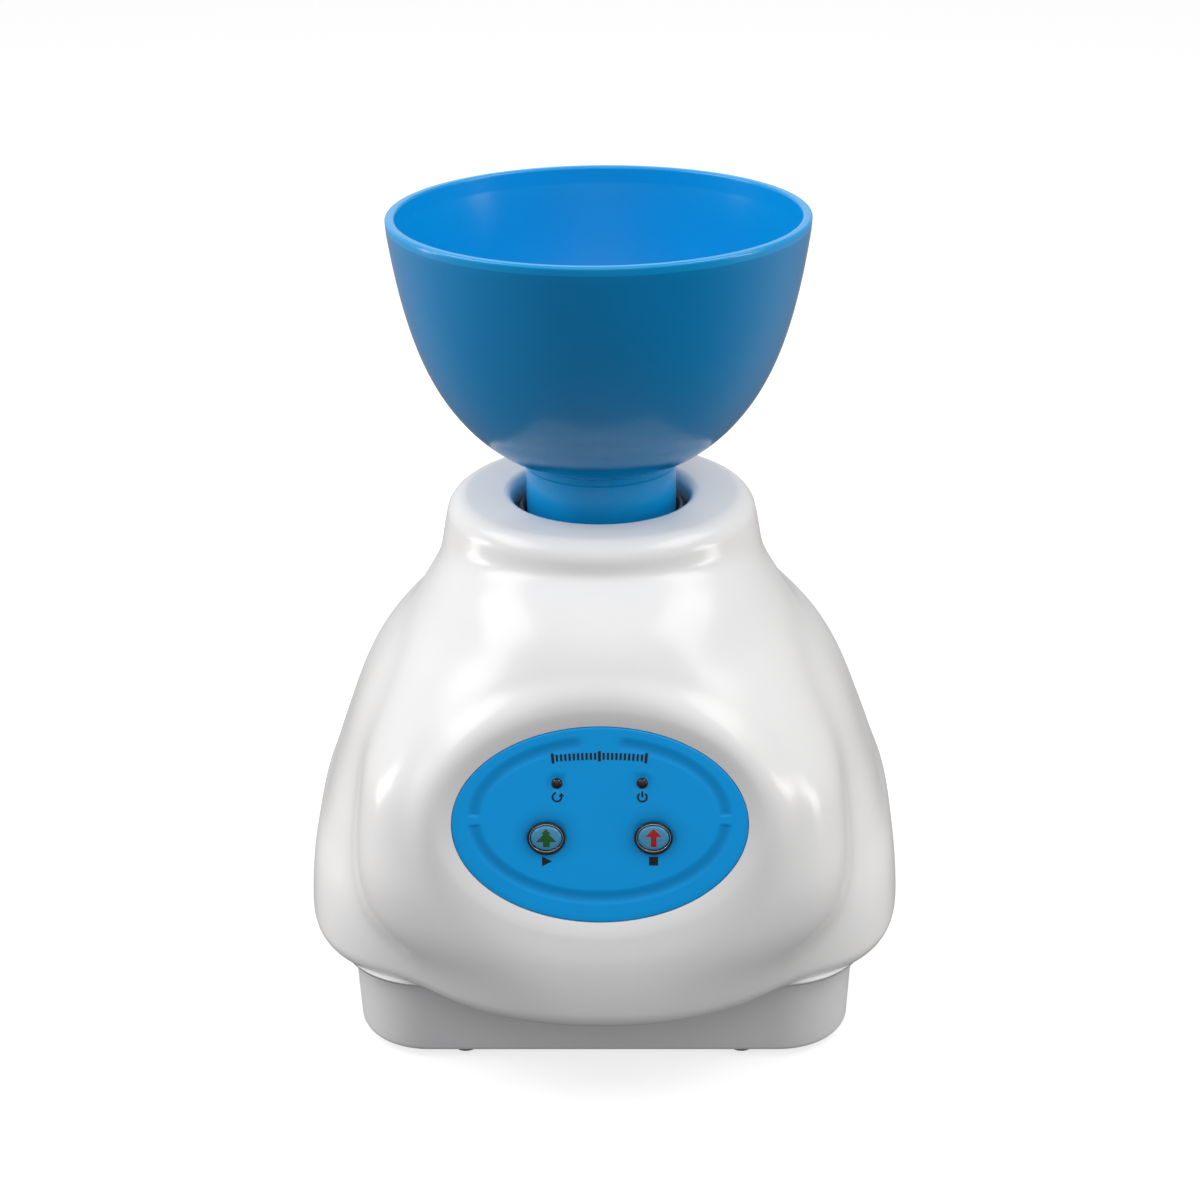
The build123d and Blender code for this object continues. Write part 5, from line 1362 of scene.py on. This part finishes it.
def screw_y(x, z, y0, r=2.9, high=1.4, soft_edge=1.0, hexagon=1.35, deep=0.95, shank=1.25, back=8.0):
    outline = ellipse(r, r, 48, x, z)
    nrm = normals2(outline)
    rings = [at_y(ellipse(shank, shank, 48, x, z), y0 - back), at_y(ellipse(shank, shank, 48, x, z), y0), at_y(outline, y0), at_y(outline, y0 + high - soft_edge)]
    for k in range(1, 8):
        a = math.radians(90 * k / 7)
        rings.append(at_y(outline - soft_edge * 0.9 * (1 - math.cos(a)) * nrm, y0 + high - soft_edge + soft_edge * math.sin(a)))
    b.loops(rings, flip=True)
    hexa = np.array([(x + hexagon * math.cos(math.radians(60 * k)), z + hexagon * math.sin(math.radians(60 * k))) for k in range(6)])
    hexa = round_loop(hexa, 0.06, 1)
    h0, h1 = at_y(hexa, y0 + high), at_y(hexa * 1.0, y0 + high - deep)
    b.loops([h0, h1], flip=True)
    order = list(map(int, rings[-1])) + list(map(int, h0))
    b.faces([[order[k] for k in t][::-1] for t in fill([outline - soft_edge * 0.9 * nrm, hexa])])
    b.faces([[int(h1[k]) for k in t][::-1] for t in fill([hexa])])
    e = ellipse(shank, shank, 48, x, z)
    b.faces([[int(rings[0][k]) for k in t] for t in fill([e])])


b = Builder()
for s in (-1, 1):
    screw_y(IX + s * 20, REAR_Z, REAR_Y + 2.5)
b.object("inlet_screw_heads", [MAT["zinc"]], "housing", sharp=35, slot="zinc_steel", replaces=["inlet_screws"])

# fuse drawer: hollow behind its front, with a pull slot
b = Builder()
dr = round_loop([(IX - 12, DRAWER_Z - 3), (IX + 12, DRAWER_Z - 3), (IX + 12, DRAWER_Z + 3), (IX - 12, DRAWER_Z + 3)], 0.45, 4)
pull = round_loop([(IX - 4.5, REAR_Z - 8.3), (IX + 4.5, REAR_Z - 8.3), (IX + 4.5, REAR_Z - 6.5), (IX - 4.5, REAR_Z - 6.5)], 0.85, 6)
block_y(dr, REAR_Y - 19, REAR_Y + 3.6, 0.4, [(pull, 0.75, 0.15)], 4)
drawer = b.object("fuse_tray", [MAT["black"]], "fuse_holder", sharp=40, slot="black_plastic", replaces=["fuse_drawer"])
cut_me = bpy.data.meshes.new("cut")
x0, x1, y0, y1, z0, z1 = IX - 10.7, IX + 10.7, REAR_Y - 15.6, REAR_Y - 9.2, DRAWER_Z - 1.8, DRAWER_Z + 6
pts = [(x, y, z) for z in (z0, z1) for x, y in ((x0, y0), (x1, y0), (x1, y1), (x0, y1))]
cut_me.from_pydata([[c * MM for c in p] for p in pts], [], [(3, 2, 1, 0), (4, 5, 6, 7), (0, 1, 5, 4), (1, 2, 6, 5), (2, 3, 7, 6), (3, 0, 4, 7)])
cutter = bpy.data.objects.new("cut", cut_me)
scene.collection.objects.link(cutter)
modified(drawer, ("BOOLEAN", {"operation": "DIFFERENCE", "object": cutter, "solver": "EXACT"}))
bpy.data.objects.remove(cutter)
bpy.data.meshes.remove(cut_me)
drawer.data.set_sharp_from_angle(angle=math.radians(40))

# switch frame
b = Builder()
frame_hole = round_loop([(SX - 5.3, REAR_Z - 9.1), (SX + 5.3, REAR_Z - 9.1), (SX + 5.3, REAR_Z + 9.1), (SX - 5.3, REAR_Z + 9.1)], 0.5, 3)
block_y(rounded_rect(17, 24, 2, 8, (8, 10), SX, REAR_Z), REAR_Y, REAR_Y + 1.8, 0.6, [(frame_hole, 13.8, 0.35)], 5)
block_y(rounded_rect(13, 20, 0.6, 3, (4, 6), SX, REAR_Z), REAR_Y - 14, REAR_Y + 0.1, 0.1, (), 2)
for z in (REAR_Z - 5, REAR_Z + 1):
    block_y(round_loop([(SX - 2.4, z - 0.4), (SX + 2.4, z - 0.4), (SX + 2.4, z + 0.4), (SX - 2.4, z + 0.4)], 0.15, 2), REAR_Y - 22, REAR_Y - 13.5, 0.1, (), 2, 1)
sw = b.object("switch_body", [MAT["black"], MAT["brass"]], "housing", sharp=45, slot="black_plastic", replaces=["power_switch_frame"])

# rocker: its side outline in (out, up), turned to the off position
ROCK = math.radians(10)
PY, PZ = REAR_Y - 1.0, REAR_Z


def on_rocker(lx, ly, X):
    lx, ly, X = np.broadcast_arrays(np.asarray(lx, float), np.asarray(ly, float), np.asarray(X, float))
    return np.stack([X, PY + lx * math.cos(ROCK) - ly * math.sin(ROCK), PZ + lx * math.sin(ROCK) + ly * math.cos(ROCK)], -1)


def rocker_face(ly):
    k = np.abs(np.asarray(ly, float)) / 8.1
    return 2.6 + 2.0 * k**1.7


side = [(float(rocker_face(v)), float(v)) for v in np.linspace(-8.05, 8.05, 29)]
side = round_loop([(-2.4, -7.2)] + side[:1], 0.1, 1)[:0].tolist() + [(-2.4, -7.2), (3.9, -8.0)] + side[1:-1] + [(3.9, 8.0), (-2.4, 7.2), (-4.6, 0)]
side = np.array(side)
area2 = 0.5 * np.sum(side[:, 0] * np.roll(side[:, 1], -1) - np.roll(side[:, 0], -1) * side[:, 1])
if area2 < 0:
    side = side[::-1]
sn = normals2(side)
b = Builder()
rings = []
for inset, dx in ((0.45, -5.1), (0.13, -4.97), (0.0, -4.65), (0.0, 0), (0.0, 4.65), (0.13, 4.97), (0.45, 5.1)):
    q = side - inset * sn
    rings.append(b.add_verts(on_rocker(q[:, 0], q[:, 1], SX + dx)))
b.loops(rings)
ends = fill([side - 0.45 * sn])
b.faces([[int(rings[0][k]) for k in t][::-1] for t in ends])
b.faces([[int(rings[-1][k]) for k in t] for t in ends])
pc = ellipse(1.0, 1.0, 24)
pr = [b.add_verts(on_rocker(pc[:, 0], pc[:, 1], SX + dx)) for dx in (-6.2, 6.2)]
b.loops(pr)
ends = fill([pc])
b.faces([[int(pr[0][k]) for k in t][::-1] for t in ends])
b.faces([[int(pr[1][k]) for k in t] for t in ends])
b.object("rocker_key", [MAT["gloss_black"]], "rocker", sharp=35, slot="black_plastic", replaces=["power_switch_rocker"])


def rocker_print(loops2, name):
    """Marks printed on the curved face; x runs across, y up."""
    bb = Builder()
    dense = [denser(l, 0.4) for l in loops2]
    allp = np.vstack(dense)
    top = bb.add_verts(on_rocker(rocker_face(allp[:, 1]) + 0.05, allp[:, 1], SX + allp[:, 0]))
    bot = bb.add_verts(on_rocker(rocker_face(allp[:, 1]) - 0.03, allp[:, 1], SX + allp[:, 0]))
    tri = fill(dense)
    bb.faces([[int(top[k]) for k in t][::-1] for t in tri])
    bb.faces([[int(bot[k]) for k in t] for t in tri])
    s = 0
    for l in dense:
        k = np.arange(s, s + len(l))
        bb.loops([bot[k], top[k]], flip=(s == 0))
        s += len(l)
    return bb.object(name, [MAT["white_ink"]], "rocker", sharp=30, slot="white_abs")


rocker_print([round_loop([(-0.28, 3.6), (0.28, 3.6), (0.28, 6.4), (-0.28, 6.4)], 0.1, 2)], "rocker_mark_on")
rocker_print([ellipse(1.35, 1.35, 40, 0, -5.0), ellipse(0.85, 0.85, 40, 0, -5.0)], "rocker_mark_off")

# ---------------------------------------------------------------------------
# Finishes of the CAD nodes that show as they are
# ---------------------------------------------------------------------------
FINISH = {
    "zinc": ["case_screws", "housing_screws", "chassis_plate", "chassis_screws", "motor_can", "motor_screws", "board_screws"],
    "alu": ["spindle_spacers", "spindle_pulley", "bearing_housing", "motor_front_cap", "motor_rear_cap", "motor_pulley"],
    "steel": ["holder_setscrew", "spindle_shaft", "shaft_circlip", "pulley_setscrew", "lower_bearing_outer_race", "lower_bearing_inner_race",
              "upper_bearing_outer_race", "upper_bearing_inner_race", "bearing_balls", "motor_shaft", "motor_rotor"],
    "black": ["bowl_holder", "start_plunger", "stop_plunger", "tact_switches", "board_components", "mains_inlet", "fuse_drawer",
              "power_switch_frame", "start_bezel", "stop_bezel"],
    "gloss_black": ["power_switch_rocker"],
    "black_rubber": ["holder_grip_ring", "well_seal", "chassis_grommets", "drive_belt"],
    "grey_rubber": ["rubber_feet"],
    "brass": ["motor_bushes", "board_standoffs", "inlet_pins"],
    "copper": ["rotor_windings", "commutator"],
    "ferrite": ["motor_magnets", "motor_brushes"],
    "pcb": ["control_board"],
    "core": ["transformer_core"],
    "tape": ["transformer_coil"],
    "glass": ["fuse"],
    "white": ["upper_shell"],
    "base": ["lower_base"],
    "bowl": ["mixing_bowl"],
    "panel": ["control_panel"],
    "cap": ["start_button", "stop_button"],
    "lamp": ["running_lamp", "power_lamp"],
    "zinc ": ["inlet_screws"],
}
for key, nodes in FINISH.items():
    for name in nodes:
        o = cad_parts[name]
        o.data.materials.clear()
        o.data.materials.append(MAT[key.strip()])
assert sorted(n for v in FINISH.values() for n in v) == sorted(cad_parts), "a node has no finish"

# ---------------------------------------------------------------------------
# Stage: a plain white floor and soft studio light
# ---------------------------------------------------------------------------
floor_me = bpy.data.meshes.new("floor")
floor_me.from_pydata([(-4, -4, 0), (4, -4, 0), (4, 4, 0), (-4, 4, 0)], [], [(0, 1, 2, 3)])
floor = bpy.data.objects.new("floor", floor_me)
scene.collection.objects.link(floor)
m, t, p = nt("floor_white")
p.inputs["Base Color"].default_value = (0.42, 0.42, 0.42, 1)
p.inputs["Roughness"].default_value = 0.9
p.inputs["Emission Color"].default_value = (1, 1, 1, 1)
p.inputs["Emission Strength"].default_value = 0.70
floor_me.materials.append(m)
floor.visible_diffuse = False
floor.visible_glossy = False
floor.visible_transmission = False
floor.visible_shadow = False

world = bpy.data.worlds.new("studio")
world.use_nodes = True
scene.world = world
t = world.node_tree
t.nodes.clear()
sky = t.nodes.new("ShaderNodeTexCoord").outputs["Generated"]


def direction(az, el):
    """Azimuth 0 is the front, +90 the right."""
    a, e = math.radians(az), math.radians(el)
    return Vector((math.sin(a) * math.cos(e), -math.cos(a) * math.cos(e), math.sin(e)))


# soft lobes of light: azimuth, elevation, tightness, strength
LOBES = [
    (0, 90, 7, 0.45), (0, 50, 7, 1.40), (0, 15, 7, 0.30), (90, 15, 7, 0.5), (180, 15, 7, 0.8),
    (-135, 15, 7, 0.45), (-90, 15, 7, 0.65), (-60, -25, 7, 0.12), (120, -25, 7, 0.45), (-120, -25, 7, 0.3), (0, -80, 6, 0.40),
]
total = None
for az, el, k, s in LOBES:
    d = t.nodes.new("ShaderNodeVectorMath")
    d.operation = "DOT_PRODUCT"
    t.links.new(sky, d.inputs[0])
    d.inputs[1].default_value = direction(az, el)
    e = math_node(t, "EXPONENT", math_node(t, "MULTIPLY_ADD", d.outputs["Value"], k, -k))
    tint = (0.975, 0.978, 1.0) if el > 0 else (1.0, 0.970, 0.975)
    c = t.nodes.new("ShaderNodeVectorMath")
    c.operation = "MULTIPLY_ADD" if total is not None else "MULTIPLY"
    c.inputs[0].default_value = tuple(v * s for v in tint)
    v = t.nodes.new("ShaderNodeCombineXYZ")
    for i in range(3):
        t.links.new(e, v.inputs[i])
    t.links.new(v.outputs[0], c.inputs[1])
    if total is not None:
        t.links.new(total, c.inputs[2])
    total = c.outputs[0]
lit = t.nodes.new("ShaderNodeBackground")
t.links.new(total, lit.inputs[0])
plain = t.nodes.new("ShaderNodeBackground")
plain.inputs[0].default_value = (1, 1, 1, 1)
pick = t.nodes.new("ShaderNodeMixShader")
t.links.new(t.nodes.new("ShaderNodeLightPath").outputs["Is Camera Ray"], pick.inputs[0])
t.links.new(lit.outputs[0], pick.inputs[1])
t.links.new(plain.outputs[0], pick.inputs[2])
out = t.nodes.new("ShaderNodeOutputWorld")
t.links.new(pick.outputs[0], out.inputs[0])


def softbox(name, az, el, size, energy, roll=0):
    """A soft box 1.3 m from the middle of the object."""
    d = bpy.data.lights.new(name, "AREA")
    d.shape = "RECTANGLE"
    d.size, d.size_y = size
    d.energy = energy
    d.color = (1.0, 0.975, 0.945)
    o = bpy.data.objects.new(name, d)
    scene.collection.objects.link(o)
    v = direction(az, el)
    turn = v.to_track_quat("Z", "Y").to_matrix().to_4x4() @ Matrix.Rotation(math.radians(roll), 4, "Z")
    o.matrix_world = Matrix.Translation(Vector((0, 0, 0.12)) + v * 1.3) @ turn
    return o


softbox("soft_left_high", -88, 46, (0.85, 0.6), 7.0)
softbox("soft_right_high", 84, 52, (0.85, 0.6), 6.4)
softbox("soft_left_low", -96, 4, (0.22, 0.6), 3.4, -36)
softbox("soft_right_low", 80, 6, (0.22, 0.6), 3.2, 35)
scene.view_settings.view_transform = "Standard"
